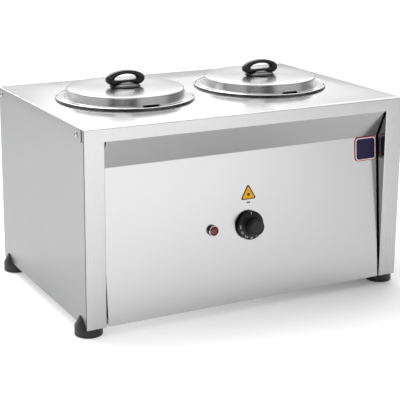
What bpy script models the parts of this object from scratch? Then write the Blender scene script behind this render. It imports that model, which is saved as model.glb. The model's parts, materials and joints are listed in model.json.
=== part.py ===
"""Electric two-pot soup warmer: a folded stainless cabinet with a water tank,
two lift-out pots with lids, a thermostat, an indicator lamp and four feet.

Metres, +Z up, front towards -Y. The origin is on the floor under the middle of
the object.
"""
import math

import bmesh
import bpy
from mathutils import Vector

# cabinet
WIDTH = 0.600
DEPTH = 0.400
FOOT_DROP = 0.017            # floor to the cabinet's bottom edge
BODY_HEIGHT = 0.324
SHEET = 0.001
GAP = 0.0003                 # between pieces that touch
FRONT_Y = -DEPTH / 2
BACK_Y = DEPTH / 2
BODY_Z = FOOT_DROP
TOP_Z = BODY_Z + BODY_HEIGHT

# top cover and front frame
FLANGE_DROP = 0.022
FLANGE_SETBACK = 0.013       # from the front corner to where a side flange starts
PANEL_INSET = 0.001          # side panel's face behind the cabinet's width
BACK_FACE_Y = BACK_Y - PANEL_INSET
SIDE_SEAM = 0.002            # between the front sheet and a side panel
RETURN_WIDTH = 0.009         # side panel's lower edge, folded in
BAR_WIDTH = 0.034
CHEEK_DEPTH = 0.032
COVER_SCREW_YS = (FRONT_Y + 0.031, BACK_Y - 0.017)
COVER_SCREW_Z = TOP_Z - 0.012
REAR_SCREW_X = 0.200
SCREW_HOLE_R = 0.0024

# control panel: leans back from the bottom edge to one deep fold under the top bar
FOLD_DEPTH = 0.0233
FOLD_HEIGHT = 0.2545
PANEL_WIDTH = WIDTH - 2 * (BAR_WIDTH + 0.003)
LEAN = math.atan2(FOLD_DEPTH, FOLD_HEIGHT)

# pots and lids
POT_X = 0.135
POT_Y = FRONT_Y + 0.212
HOLE_R = 0.1185
POT_R = 0.117
POT_WALL = 0.0008
POT_DEPTH = 0.1972
POT_CORNER = 0.018
RIM_R = 0.1205
RIM_TOP = 0.0042
LEDGE_R = 0.1174
LID_SHEET = 0.0008
LID_R = 0.1170
LID_REST = 0.0016            # underside of the lid's flange over the top cover
HAT_R = 0.1022
HAT_FLARE = 0.0022           # the lid's wall spreads by this much down to its flange
HAT_TOP = 0.0188
HAT_CROWN = 0.0006
NOTCH_WIDTH = 0.030
NOTCH_REACH = HAT_R - 0.0015  # how near the lid's middle the ladle notch comes
NOTCH_RISE = 0.0035
ROUND_STEPS = 32

# lid handle
DISH_R = 0.0255
DISH_HEIGHT = 0.008
LOOP_HALF_WIDTH = 0.036
LOOP_TOP = 0.0275
LOOP_THICKNESS = 0.011

# tank
TANK_HALF_X = 0.266
TANK_FRONT_Y = FRONT_Y + 0.086
TANK_BACK_Y = FRONT_Y + 0.338
TANK_FLOOR_Z = BODY_Z + 0.066
TANK_LIP = 0.012

# heating element
ELEMENT_R = 0.00425
ELEMENT_Z = TANK_FLOOR_Z + 0.022
ELEMENT_END_X = 0.022
ELEMENT_REACH_X = 0.225
ELEMENT_INSET_Y = 0.035
ELEMENT_BEND_R = 0.030
FLANGE_SIZE = (0.084, 0.034)

# knob and thermostat, set square to the leaning panel
KNOB_HEIGHT = 0.130
SKIRT_R = 0.0245
SKIRT_BACK = 0.004
SKIRT_FRONT = 0.008
GRIP_R = 0.0140
GRIP_FRONT = 0.028
SHAFT_R = 0.0030
SHAFT_HOLE_R = 0.0045
THERMOSTAT_SIZE = (0.044, 0.036, 0.026)
THERMOSTAT_SCREW_X = 0.014

# lamp, sticker and badge on the panel
LAMP_X = -0.070
LAMP_R = 0.009
LAMP_REACH = 0.008
STICKER_HALF = 0.0135
STICKER_RISE = 0.0435        # sticker's lower edge over the knob's axis, along the panel
BADGE_SIZE = (0.045, 0.042)
BADGE_X = 0.2395
BADGE_RISE = 0.1040

# feet
FOOT_R = 0.023
FOOT_X = WIDTH / 2 - 0.014
FOOT_YS = (FRONT_Y + 0.028, BACK_Y - 0.028)
FOOT_SHOULDER = -0.001       # heights from the cabinet's bottom edge
EAR_TOP = 0.0185
EAR_TOP_R = 0.0130
FOOT_SCREW_R = 0.0025

# back panel
GLAND_X = 0.230
GLAND_Z = BODY_Z + 0.040
GLAND_REACH = 0.0173
GLAND_R = 0.011
EARTH_X = 0.180


# ---------------------------------------------------------------- scene and tools

for old in list(bpy.data.objects):
    bpy.data.objects.remove(old, do_unlink=True)

PARTS = bpy.data.collections.new("two_pot_soup_warmer")
CUTTERS = bpy.data.collections.new("cutters")
bpy.context.scene.collection.children.link(PARTS)
bpy.context.scene.collection.children.link(CUTTERS)


def material(name, colour, roughness, metallic=0.0):
    """A plain Principled material."""
    made = bpy.data.materials.new(name)
    made.use_nodes = True
    shader = made.node_tree.nodes["Principled BSDF"]
    shader.inputs["Base Color"].default_value = (*colour, 1.0)
    shader.inputs["Roughness"].default_value = roughness
    shader.inputs["Metallic"].default_value = metallic
    made.diffuse_color = (*colour, 1.0)
    return made


STEEL = material("stainless_sheet", (0.66, 0.66, 0.67), 0.28, 1.0)
POT_STEEL = material("pot_steel", (0.72, 0.72, 0.72), 0.20, 1.0)
DARK_STEEL = material("dish_steel", (0.42, 0.42, 0.42), 0.25, 1.0)
ZINC = material("zinc_plate", (0.60, 0.61, 0.62), 0.35, 1.0)
BRASS = material("brass", (0.72, 0.55, 0.28), 0.35, 1.0)
BAKELITE = material("bakelite", (0.018, 0.017, 0.017), 0.22)
FOOT_PLASTIC = material("foot_plastic", (0.020, 0.020, 0.021), 0.45)
GLAND_PLASTIC = material("gland_plastic", (0.025, 0.025, 0.027), 0.40)
SEAL_RUBBER = material("seal_rubber", (0.03, 0.03, 0.03), 0.75)
LENS_RED = material("lens_red", (0.22, 0.012, 0.010), 0.15)
LAMP_BODY = material("lamp_body", (0.80, 0.78, 0.72), 0.50)
TERMINAL = material("terminal_plastic", (0.75, 0.74, 0.70), 0.50)
STICKER_AMBER = material("sticker_amber", (0.80, 0.42, 0.05), 0.40)
BADGE_BLUE = material("badge_blue", (0.030, 0.045, 0.130), 0.30)
WIRE_BLUE = material("wire_blue", (0.05, 0.12, 0.45), 0.50)
WIRE_BROWN = material("wire_brown", (0.20, 0.09, 0.04), 0.50)
WIRE_EARTH = material("wire_earth", (0.30, 0.50, 0.08), 0.50)


def add(name, data, paint=None, at=(0.0, 0.0, 0.0), turn=(0.0, 0.0, 0.0), parent=None):
    """Put mesh or curve data in the scene as a part, or as a cutter when it has no paint."""
    made = bpy.data.objects.new(name, data)
    made.location = at
    made.rotation_euler = turn
    made.parent = parent
    if paint is None:
        CUTTERS.objects.link(made)
        made.hide_render = True
        made.display_type = "WIRE"
    else:
        PARTS.objects.link(made)
        data.materials.append(paint)
    return made


def mesh_from(bm, name):
    """Turn a bmesh into mesh data."""
    bmesh.ops.recalc_face_normals(bm, faces=bm.faces)
    data = bpy.data.meshes.new(name)
    bm.to_mesh(data)
    bm.free()
    return data


def box_mesh(low, high, name="box"):
    """A box between two corners."""
    low, high = Vector(low), Vector(high)
    bm = bmesh.new()
    bmesh.ops.create_cube(bm, size=1.0)
    bmesh.ops.scale(bm, vec=high - low, verts=bm.verts)
    bmesh.ops.translate(bm, vec=(low + high) / 2, verts=bm.verts)
    return mesh_from(bm, name)


def drum_mesh(radius, low, high, steps=24, name="drum"):
    """A closed cylinder along Z, from height low to high."""
    bm = bmesh.new()
    bmesh.ops.create_cone(bm, cap_ends=True, segments=steps,
                          radius1=radius, radius2=radius, depth=high - low)
    bmesh.ops.translate(bm, vec=(0, 0, (low + high) / 2), verts=bm.verts)
    return mesh_from(bm, name)


def turned(name, profile, paint=None, steps=ROUND_STEPS, ring=False, **place):
    """Turn a profile of (radius, height) points about Z; outer side top to bottom."""
    data = bpy.data.meshes.new(name)
    edges = [(i, i + 1) for i in range(len(profile) - 1)]
    if ring:
        edges.append((len(profile) - 1, 0))
    data.from_pydata([(r, 0.0, z) for r, z in profile], edges, [])
    made = add(name, data, paint, **place)
    screw = made.modifiers.new("turn", "SCREW")
    screw.axis = "Z"
    screw.angle = 2 * math.pi
    screw.steps = steps
    screw.render_steps = steps
    screw.use_merge_vertices = True
    screw.merge_threshold = 0.00001
    screw.use_smooth_shade = True
    return made


def outline_curve(name, outlines, thickness):
    """A flat piece in the XY plane: filled outlines with half the thickness each way."""
    data = bpy.data.curves.new(name, "CURVE")
    data.dimensions = "2D"
    data.fill_mode = "BOTH"
    data.extrude = thickness / 2
    for points in outlines:
        spline = data.splines.new("POLY")
        spline.points.add(len(points) - 1)
        for slot, (x, y) in zip(spline.points, points):
            slot.co = (x, y, 0.0, 1.0)
        spline.use_cyclic_u = True
    return data


def tube_curve(name, points, radius, sizes=None):
    """A round rod along a list of points; sizes scale the radius point by point."""
    data = bpy.data.curves.new(name, "CURVE")
    data.dimensions = "3D"
    data.bevel_depth = radius
    data.bevel_resolution = 2
    data.use_fill_caps = True
    spline = data.splines.new("POLY")
    spline.points.add(len(points) - 1)
    for i, point in enumerate(points):
        spline.points[i].co = (*point, 1.0)
        spline.points[i].radius = 1.0 if sizes is None else sizes[i]
    return data


def as_mesh(curve_object, name, paint):
    """Make a curve object a welded mesh part, so that it can be cut or joined."""
    bpy.context.view_layer.update()
    graph = bpy.context.evaluated_depsgraph_get()
    data = bpy.data.meshes.new_from_object(curve_object.evaluated_get(graph))
    data.transform(curve_object.matrix_world)
    bm = bmesh.new()
    bm.from_mesh(data)
    bmesh.ops.remove_doubles(bm, verts=bm.verts, dist=0.00002)
    bm.to_mesh(data)
    bm.free()
    bpy.data.objects.remove(curve_object, do_unlink=True)
    data.materials.clear()
    return add(name, data, paint)


def boolean(target, tool, operation):
    """Cut the target with a tool object, or join the tool to it."""
    step = target.modifiers.new(operation.lower(), "BOOLEAN")
    step.operation = operation
    step.solver = "EXACT"
    step.object = tool


def cut(target, *tools):
    """Take each tool away from the target."""
    for tool in tools:
        boolean(target, tool, "DIFFERENCE")


def join(target, *tools):
    """Join each tool to the target as one body."""
    for tool in tools:
        boolean(target, tool, "UNION")


def box_cutter(name, low, high, parent=None):
    """A box-shaped tool."""
    return add(name, box_mesh(low, high, name), parent=parent)


def drum_cutter(name, radius, low, high, at, turn=(0.0, 0.0, 0.0), parent=None, steps=24):
    """A round tool along its own Z axis."""
    return add(name, drum_mesh(radius, low, high, steps, name=name), at=at, turn=turn, parent=parent)


def open_box_mesh(low, high, open_faces, name):
    """A box's surface without the faces whose outward directions are listed."""
    low, high = Vector(low), Vector(high)
    bm = bmesh.new()
    bmesh.ops.create_cube(bm, size=1.0)
    gone = [f for f in bm.faces if any(f.normal.dot(Vector(d)) > 0.9 for d in open_faces)]
    bmesh.ops.delete(bm, geom=gone, context="FACES")
    bmesh.ops.scale(bm, vec=high - low, verts=bm.verts)
    bmesh.ops.translate(bm, vec=(low + high) / 2, verts=bm.verts)
    data = bpy.data.meshes.new(name)
    bm.to_mesh(data)
    bm.free()
    return data


def thicken(target, thickness=SHEET, offset=-1.0):
    """Give a surface its sheet thickness; offset -1 puts it behind the surface."""
    step = target.modifiers.new("sheet", "SOLIDIFY")
    step.thickness = thickness
    step.offset = offset
    step.use_even_offset = True
    return target


def folded_mesh(profile, direction, name):
    """A surface swept straight from a folded profile of points along a direction."""
    bm = bmesh.new()
    verts = [bm.verts.new(p) for p in profile]
    edges = [bm.edges.new(pair) for pair in zip(verts, verts[1:])]
    swept = bmesh.ops.extrude_edge_only(bm, edges=edges)["geom"]
    moved = [g for g in swept if isinstance(g, bmesh.types.BMVert)]
    bmesh.ops.translate(bm, vec=direction, verts=moved)
    data = bpy.data.meshes.new(name)
    bm.to_mesh(data)
    bm.free()
    return data


def arc(cx, cy, radius, start, stop, steps):
    """Points on an arc, angles in degrees, both ends included."""
    angles = [math.radians(start + (stop - start) * i / steps) for i in range(steps + 1)]
    return [(cx + radius * math.cos(a), cy + radius * math.sin(a)) for a in angles]


def rounded_rectangle(half_x, half_y, radius, steps=5):
    """Outline of a rectangle with round corners, about the origin."""
    points = []
    for sx, sy, start in ((1, 1, 0), (-1, 1, 90), (-1, -1, 180), (1, -1, 270)):
        points += arc(sx * (half_x - radius), sy * (half_y - radius), radius, start, start + 90, steps)
    return points


ALONG_X = (0.0, math.pi / 2, 0.0)
ALONG_Y = (math.pi / 2, 0.0, 0.0)


# ---------------------------------------------------------------- sheet-metal cabinet

def cover_screw_places():
    """Centre and outward direction of each screw in the top cover's flanges."""
    sides = [(sign * (WIDTH / 2 + GAP), y, sign) for sign in (-1, 1) for y in COVER_SCREW_YS]
    rear = [(sign * REAR_SCREW_X, BACK_Y + GAP, 0) for sign in (-1, 1)]
    return sides, rear


def cover_screw_cutters():
    """Holes for the cover's screws, through a flange and the panel behind it."""
    sides, rear = cover_screw_places()
    tools = []
    for i, (x, y, _) in enumerate(sides + rear):
        turn = ALONG_X if i < len(sides) else ALONG_Y
        spot = (x, y, COVER_SCREW_Z)
        tools.append(drum_cutter(f"cover_screw_hole_{i}", SCREW_HOLE_R, -0.006, 0.006, spot, turn, steps=16))
    return tools[:2], tools[2:4], tools[4:]


def make_top_cover(screw_tools, pot_holes):
    """The plate with two pot holes, side flanges and a rear flange."""
    low = (-WIDTH / 2 - GAP, FRONT_Y, TOP_Z - FLANGE_DROP)
    high = (WIDTH / 2 + GAP, BACK_Y + GAP, TOP_Z)
    surface = open_box_mesh(low, high, ((0, 0, -1), (0, -1, 0)), "top_cover")
    cover = thicken(add("top_cover", surface, STEEL))
    for sign in (-1, 1):
        edge = sign * WIDTH / 2
        corner_low = (min(edge - 0.004, edge + 0.004), FRONT_Y - 0.002, TOP_Z - FLANGE_DROP - 0.002)
        corner_high = (max(edge - 0.004, edge + 0.004), FRONT_Y + FLANGE_SETBACK, TOP_Z - SHEET)
        cut(cover, box_cutter(f"flange_end_{sign}", corner_low, corner_high))
    cut(cover, *pot_holes)
    for group in screw_tools:
        cut(cover, *group)


def make_front_frame():
    """Top bar and two side bars in one sheet, with a cheek turned in from each side bar."""
    half = WIDTH / 2
    window = half - BAR_WIDTH
    outline = [(-half, 0), (-window, 0), (-window, BODY_HEIGHT - FLANGE_DROP),
               (window, BODY_HEIGHT - FLANGE_DROP), (window, 0), (half, 0),
               (half, BODY_HEIGHT - SHEET - GAP), (-half, BODY_HEIGHT - SHEET - GAP)]
    flat = add("front_frame_flat", outline_curve("front_frame_flat", [outline], SHEET),
               at=(0, FRONT_Y + SHEET / 2, BODY_Z), turn=ALONG_Y)
    frame = as_mesh(flat, "front_frame", STEEL)
    for sign in (-1, 1):
        inner = sign * window
        outer = sign * (window + SHEET)
        low = (min(inner, outer), FRONT_Y + SHEET / 4, BODY_Z)
        high = (max(inner, outer), FRONT_Y + CHEEK_DEPTH, TOP_Z - FLANGE_DROP)
        join(frame, box_cutter(f"cheek_{sign}", low, high))


def make_side_panel(name, sign, screw_tools):
    """A flat side with a return folded in under the base."""
    face = sign * (WIDTH / 2 - PANEL_INSET)
    front = FRONT_Y + SHEET + SIDE_SEAM
    profile = [(face, front, TOP_Z - SHEET - GAP), (face, front, BODY_Z),
               (face - sign * RETURN_WIDTH, front, BODY_Z)]
    surface = folded_mesh(profile, (0, BACK_Y - SHEET - 2 * GAP - front, 0), name)
    panel = thicken(add(name, surface, STEEL), offset=sign)
    cut(panel, *screw_tools)


def make_back_panel(screw_tools, gland_tool, earth_tool):
    """The back, between the two sides, with the cable and earth holes."""
    half = WIDTH / 2 - PANEL_INSET - SHEET - GAP
    low = (-half, BACK_FACE_Y - SHEET, BODY_Z + SHEET + GAP)
    high = (half, BACK_FACE_Y, TOP_Z - SHEET - GAP)
    panel = add("back_panel", box_mesh(low, high, "back_panel"), STEEL)
    cut(panel, *screw_tools, gland_tool, earth_tool)


def make_base_plate(foot_tools):
    """A shallow tray over the feet, its edges turned up."""
    half = WIDTH / 2 - PANEL_INSET - SHEET - GAP
    low = (-half, FRONT_Y + 0.006, BODY_Z + SHEET + GAP)
    high = (half, BACK_FACE_Y - SHEET - GAP, BODY_Z + 0.014)
    surface = open_box_mesh(low, high, ((0, 0, 1),), "base_plate")
    base = thicken(add("base_plate", surface, STEEL))
    cut(base, *foot_tools)
    cheek_x = WIDTH / 2 - BAR_WIDTH + SHEET / 2
    for sign in (-1, 1):
        slot_low = (sign * cheek_x - SHEET, FRONT_Y, BODY_Z)
        slot_high = (sign * cheek_x + SHEET, FRONT_Y + CHEEK_DEPTH + SHEET, BODY_Z + 0.020)
        cut(base, box_cutter(f"cheek_slot_{sign}", slot_low, slot_high))


def make_control_panel(panel_tools):
    """The leaning panel and the short facet over its deep fold."""
    half = PANEL_WIDTH / 2
    top = (-half, FRONT_Y + SHEET + GAP, TOP_Z - FLANGE_DROP + 0.001)
    fold = (-half, FRONT_Y + FOLD_DEPTH, BODY_Z + FOLD_HEIGHT)
    foot = (-half, FRONT_Y + GAP, BODY_Z + GAP)
    surface = folded_mesh([top, fold, foot], (PANEL_WIDTH, 0, 0), "control_panel")
    panel = thicken(add("control_panel", surface, STEEL), offset=1.0)
    cut(panel, *panel_tools)


# ---------------------------------------------------------------- tank and heater

def make_tank(tools):
    """The water tank, hung under the top cover by an outward lip."""
    lip_z = TOP_Z - SHEET - GAP
    low = (-TANK_HALF_X, TANK_FRONT_Y, TANK_FLOOR_Z)
    high = (TANK_HALF_X, TANK_BACK_Y, lip_z)
    surface = open_box_mesh(low, high, ((0, 0, 1),), "water_tank")
    bm = bmesh.new()
    bm.from_mesh(surface)
    border = [e for e in bm.edges if e.is_boundary]
    lip = [g for g in bmesh.ops.extrude_edge_only(bm, edges=border)["geom"]
           if isinstance(g, bmesh.types.BMVert)]
    middle = Vector((0, (TANK_FRONT_Y + TANK_BACK_Y) / 2, lip_z))
    for vert in lip:
        away = vert.co - middle
        vert.co += Vector((math.copysign(TANK_LIP, away.x), math.copysign(TANK_LIP, away.y), 0))
    bm.to_mesh(surface)
    bm.free()
    tank = thicken(add("water_tank", surface, STEEL), offset=1.0)
    cut(tank, *tools)


def element_route():
    """The element's centre line: in at one end, round the tank floor, out at the other."""
    near = TANK_FRONT_Y + ELEMENT_INSET_Y
    far = TANK_BACK_Y - ELEMENT_INSET_Y
    r, reach, end = ELEMENT_BEND_R, ELEMENT_REACH_X, ELEMENT_END_X
    small = 0.012
    half = [(end, TANK_FRONT_Y - 0.022)]
    half += arc(end + small, near - small, small, 180, 90, 4)
    half += arc(reach - r, near + r, r, 270, 360, 5)
    half += arc(reach - r, far - r, r, 0, 90, 5)
    other = [(-x, y) for x, y in reversed(half)]
    return [(x, y, ELEMENT_Z) for x, y in half + other]


def make_heater():
    """The tubular element with its flange, gasket and nuts on the tank's dry side."""
    route = element_route()
    rod = add("element_rod", tube_curve("element_rod", route, ELEMENT_R))
    as_mesh(rod, "heating_element", DARK_STEEL)
    wall = TANK_FRONT_Y - SHEET - GAP
    half_x, half_z = FLANGE_SIZE[0] / 2, FLANGE_SIZE[1] / 2
    layers = (("heater_gasket", SEAL_RUBBER, 0.002), ("heater_flange", STEEL, 0.003))
    for name, paint, thick in layers:
        low = (-half_x, wall - thick, ELEMENT_Z - half_z)
        high = (half_x, wall, ELEMENT_Z + half_z)
        plate = add(name, box_mesh(low, high, name), paint)
        cut(plate, *element_holes(name))
        wall -= thick + GAP
    for side, sign in (("right", 1), ("left", -1)):
        spot = (sign * ELEMENT_END_X, wall, ELEMENT_Z)
        hexagon = drum_mesh(0.0095, 0.0, 0.006, steps=6, name="heater_nut")
        nut = add(f"heater_nut_{side}", hexagon, BRASS, spot, ALONG_Y)
        bore = drum_cutter(f"nut_bore_{side}", ELEMENT_R + GAP, -0.002, 0.009, spot, ALONG_Y)
        cut(nut, bore)


def element_holes(name):
    """Cutters where the element's two ends pass through the tank's front wall."""
    tools = []
    for side, sign in (("right", 1), ("left", -1)):
        spot = (sign * ELEMENT_END_X, TANK_FRONT_Y, ELEMENT_Z)
        tools.append(drum_cutter(f"{name}_hole_{side}", ELEMENT_R + GAP, -0.004, 0.012, spot, ALONG_Y))
    return tools


# ---------------------------------------------------------------- pots and lids

def make_pot(name, x):
    """A straight pot with a rounded foot, a small ledge for the lid and a rolled rim."""
    inner, outer = POT_R - POT_WALL, POT_R
    bottom = RIM_TOP - POT_DEPTH
    corner = POT_CORNER
    floor_in = [(r, z) for r, z in arc(inner - corner, bottom + POT_WALL + corner, corner, 270, 360, 3)]
    floor_out = [(r, z) for r, z in arc(outer - corner - POT_WALL, bottom + corner + POT_WALL,
                                        corner + POT_WALL, 360, 270, 3)]
    mid_r = (LEDGE_R + RIM_R) / 2
    bead = (RIM_R - LEDGE_R) / 2
    rim = [(inner, LID_REST - GAP), (LEDGE_R, LID_REST - GAP)]
    rim += arc(mid_r, RIM_TOP - bead, bead, 180, 0, 4)
    rim += [(RIM_R, GAP), (outer, GAP)]
    profile = [(0.0, bottom + POT_WALL)] + floor_in + rim + floor_out + [(0.0, bottom)]
    turned(name, profile, POT_STEEL, at=(x, POT_Y, TOP_Z))


def make_lid(name, x):
    """A flat-topped lid with a low flange, notched at the front for a ladle."""
    t = LID_SHEET
    fillet = 0.003
    top = [(0.0025, HAT_TOP + HAT_CROWN), (HAT_R - fillet, HAT_TOP)]
    top += arc(HAT_R - fillet, HAT_TOP - fillet, fillet, 70, 0, 2)
    base = HAT_R + HAT_FLARE
    low = [(base + 0.0006, LID_REST + t + 0.0012), (base + 0.0018, LID_REST + t), (LID_R, LID_REST + t),
           (LID_R, LID_REST), (base + 0.0010, LID_REST), (base - 0.0004, LID_REST + 0.0014)]
    under = [(HAT_R - t, HAT_TOP - fillet), (HAT_R - fillet - 0.0006, HAT_TOP - t - 0.0006),
             (HAT_R - fillet - 0.002, HAT_TOP - t), (0.0025, HAT_TOP + HAT_CROWN - t)]
    lid = turned(name, top + low + under, POT_STEEL, ring=True, at=(x, POT_Y, TOP_Z))
    notch_low = (x - NOTCH_WIDTH / 2, POT_Y - LID_R - 0.004, TOP_Z + LID_REST - 0.003)
    notch_high = (x + NOTCH_WIDTH / 2, POT_Y - NOTCH_REACH, TOP_Z + LID_REST + NOTCH_RISE)
    cut(lid, box_cutter(f"{name}_notch", notch_low, notch_high))


def loop_outlines():
    """Outer and inner outline of the ring handle, over the lid's top, in its own plane."""
    wide, top = LOOP_HALF_WIDTH, LOOP_TOP
    foot_x, foot_z = 0.0235, 0.0030
    mid = 0.0125
    outer = [(foot_x, foot_z)]
    outer += [(wide * math.cos(a), mid + (top - mid) * math.sin(a))
              for a in (math.radians(-16 + 212 * i / 18) for i in range(19))]
    outer += [(-foot_x, foot_z)]
    saddle = [(-foot_x * math.cos(a), foot_z + 0.0027 * math.sin(a))
              for a in (math.radians(180 * i / 8) for i in range(1, 8))]
    inner_wide, inner_top, inner_low = 0.0235, 0.0210, 0.0118
    inner = [(inner_wide * math.cos(a), inner_low + (inner_top - inner_low) * math.sin(a))
             for a in (math.radians(180 * i / 12) for i in range(13))]
    inner += [(-x, 0.0100 + 0.0014 * math.cos(x / inner_wide * math.pi / 2))
              for x in (inner_wide * (0.72 - 0.24 * i) for i in range(7))]
    return outer + saddle, inner


def make_lid_handle(side, x):
    """A steel dish, a black ring over it, and the screw that holds both from inside."""
    top = TOP_Z + HAT_TOP + HAT_CROWN + GAP
    shell = 0.0008
    bulge = [(DISH_R * math.cos(a), DISH_HEIGHT * math.sin(a) ** 0.8)
             for a in (math.radians(72 - 18 * i) for i in range(4))]
    outside = [(0.0026, DISH_HEIGHT)] + bulge + [(DISH_R, 0.0)]
    inside = [(r - shell * 1.6, max(z - shell, 0.0)) for r, z in reversed(bulge[:-1])]
    profile = outside + [(DISH_R - 0.0016, 0.0)] + inside + [(0.0026, DISH_HEIGHT - shell)]
    turned(f"{side}_handle_dish", profile, DARK_STEEL, steps=20, ring=True, at=(x, POT_Y, top))
    ring = add("ring_flat", outline_curve("ring_flat", loop_outlines(), LOOP_THICKNESS),
               at=(x, POT_Y, top), turn=ALONG_Y)
    handle = as_mesh(ring, f"{side}_lid_handle", BAKELITE)
    over_dish = [(0.0, DISH_HEIGHT + GAP)] + [(r + GAP, z + GAP) for r, z in bulge]
    over_dish += [(DISH_R + 0.002, GAP), (DISH_R + 0.002, -0.004), (0.0, -0.004)]
    seat = turned(f"{side}_ring_seat", over_dish, steps=20, at=(x, POT_Y, top))
    pilot = drum_cutter(f"{side}_ring_pilot", 0.0018, 0.0, DISH_HEIGHT + 0.0022, (x, POT_Y, top), steps=12)
    cut(handle, seat, pilot)
    shank = [(0.0, DISH_HEIGHT + 0.0016), (0.0015, DISH_HEIGHT + 0.0016), (0.0015, -HAT_CROWN - 0.0012),
             (0.0045, -HAT_CROWN - 0.0012), (0.0040, -HAT_CROWN - 0.0032), (0.0, -HAT_CROWN - 0.0036)]
    turned(f"{side}_handle_screw", shank, ZINC, steps=12, at=(x, POT_Y, top))


# ---------------------------------------------------------------- on the control panel

def panel_empty():
    """A frame on the panel's face at the knob: its Z points out, its Y up the panel."""
    made = bpy.data.objects.new("panel_frame", None)
    PARTS.objects.link(made)
    made.location = (0, FRONT_Y + GAP + math.tan(LEAN) * KNOB_HEIGHT, BODY_Z + KNOB_HEIGHT)
    made.rotation_euler = (math.pi / 2 - LEAN, 0, 0)
    return made


def make_knob(panel):
    """Skirt and grip in one moulding, and the shaft it is pushed on to."""
    skirt = [(0.0, GRIP_FRONT), (GRIP_R - 0.002, GRIP_FRONT), (GRIP_R - 0.0006, GRIP_FRONT - 0.0006),
             (GRIP_R, GRIP_FRONT - 0.002), (GRIP_R + 0.001, SKIRT_FRONT),
             (SKIRT_R - 0.001, SKIRT_FRONT), (SKIRT_R, SKIRT_FRONT - 0.001), (SKIRT_R, SKIRT_BACK),
             (0.0, SKIRT_BACK)]
    knob = turned("knob", skirt, BAKELITE, steps=28, parent=panel)
    cut(knob, drum_cutter("knob_bore", SHAFT_R + 0.00005, 0.0, 0.020, (0, 0, 0), parent=panel, steps=16))
    shaft = drum_mesh(SHAFT_R, -0.012, 0.0195, steps=16, name="thermostat_shaft")
    shaft = add("thermostat_shaft", shaft, ZINC, parent=panel)
    flat = box_cutter("shaft_flat", (-0.004, 0.0018, 0.010), (0.004, 0.004, 0.022), parent=panel)
    cut(shaft, flat)


def make_thermostat(panel):
    """The capillary thermostat behind the panel and its two screws under the knob."""
    half_x, half_y = THERMOSTAT_SIZE[0] / 2, THERMOSTAT_SIZE[1] / 2
    front = -SHEET - GAP
    low, high = (-half_x, -half_y, front - THERMOSTAT_SIZE[2]), (half_x, half_y, front)
    body = add("thermostat_body", box_mesh(low, high, "thermostat_body"), LAMP_BODY, parent=panel)
    cut(body, drum_cutter("thermostat_bore", SHAFT_R + GAP, -0.016, 0.002, (0, 0, 0), parent=panel))
    head = [(0.0, 0.0024), (0.0022, 0.0020), (0.0030, GAP), (0.0016, GAP), (0.0016, -0.007), (0.0, -0.007)]
    for side, sign in (("right", 1), ("left", -1)):
        spot = (sign * THERMOSTAT_SCREW_X, 0, 0)
        turned(f"thermostat_screw_{side}", head, ZINC, steps=12, at=spot, parent=panel)
        hole = drum_cutter(f"thermostat_screw_hole_{side}", 0.0019, -0.0085, 0.002, spot,
                           parent=panel, steps=12)
        cut(body, hole)


def panel_holes(panel):
    """Cutters for the shaft, the thermostat's screws and the lamp."""
    tools = [drum_cutter("shaft_hole", SHAFT_HOLE_R, -0.004, 0.003, (0, 0, 0), parent=panel)]
    for sign in (-1, 1):
        spot = (sign * THERMOSTAT_SCREW_X, 0, 0)
        tools.append(drum_cutter(f"fixing_hole_{sign}", 0.0020, -0.004, 0.003, spot, parent=panel, steps=12))
    tools.append(drum_cutter("lamp_hole", 0.0062, -0.004, 0.003, (LAMP_X, 0, 0), parent=panel))
    return tools


def make_lamp(panel):
    """Bezel, lens, body and lock nut of the indicator lamp."""
    at = (LAMP_X, 0, 0)
    bezel = [(LAMP_R - 0.0012, LAMP_REACH), (LAMP_R, LAMP_REACH - 0.0012), (LAMP_R, GAP),
             (0.0063, GAP), (0.0063, LAMP_REACH)]
    turned("lamp_bezel", bezel, ZINC, steps=20, ring=True, at=at, parent=panel)
    lens = [(0.0, LAMP_REACH - 0.0006), (0.0040, LAMP_REACH - 0.0012), (0.0060, LAMP_REACH - 0.0026),
            (0.0060, 0.0012), (0.0, 0.0012)]
    turned("lamp_lens", lens, LENS_RED, steps=20, at=at, parent=panel)
    body = [(0.0, 0.0009), (0.0058, 0.0009), (0.0058, -0.022), (0.0040, -0.024), (0.0, -0.024)]
    turned("lamp_body", body, LAMP_BODY, steps=20, at=at, parent=panel)
    nut = add("lamp_nut", drum_mesh(0.0090, -SHEET - GAP - 0.003, -SHEET - GAP, 6, name="lamp_nut"),
              ZINC, at, parent=panel)
    cut(nut, drum_cutter("lamp_nut_bore", 0.0061, -0.008, 0.002, at, parent=panel, steps=20))


def make_signs(panel):
    """The plain three-cornered sticker over the knob and the badge plate."""
    corner = 0.0025
    reach = STICKER_HALF - corner
    points = []
    for i, (x, y) in enumerate(((reach, 0.0), (0.0, reach * 1.75), (-reach, 0.0))):
        start = -90 + 120 * i
        points += arc(x, y + corner, corner, start, start + 120, 4)
    sticker = outline_curve("caution_sticker", [points], 0.0003)
    add("caution_sticker", sticker, STICKER_AMBER, (0, STICKER_RISE, GAP + 0.00015), parent=panel)
    badge = rounded_rectangle(BADGE_SIZE[0] / 2, BADGE_SIZE[1] / 2, 0.007)
    add("badge_plate", outline_curve("badge_plate", [badge], 0.0012), BADGE_BLUE,
        (BADGE_X, BADGE_RISE, GAP + 0.0006), parent=panel)


# ---------------------------------------------------------------- feet, screws, inlet

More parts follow.
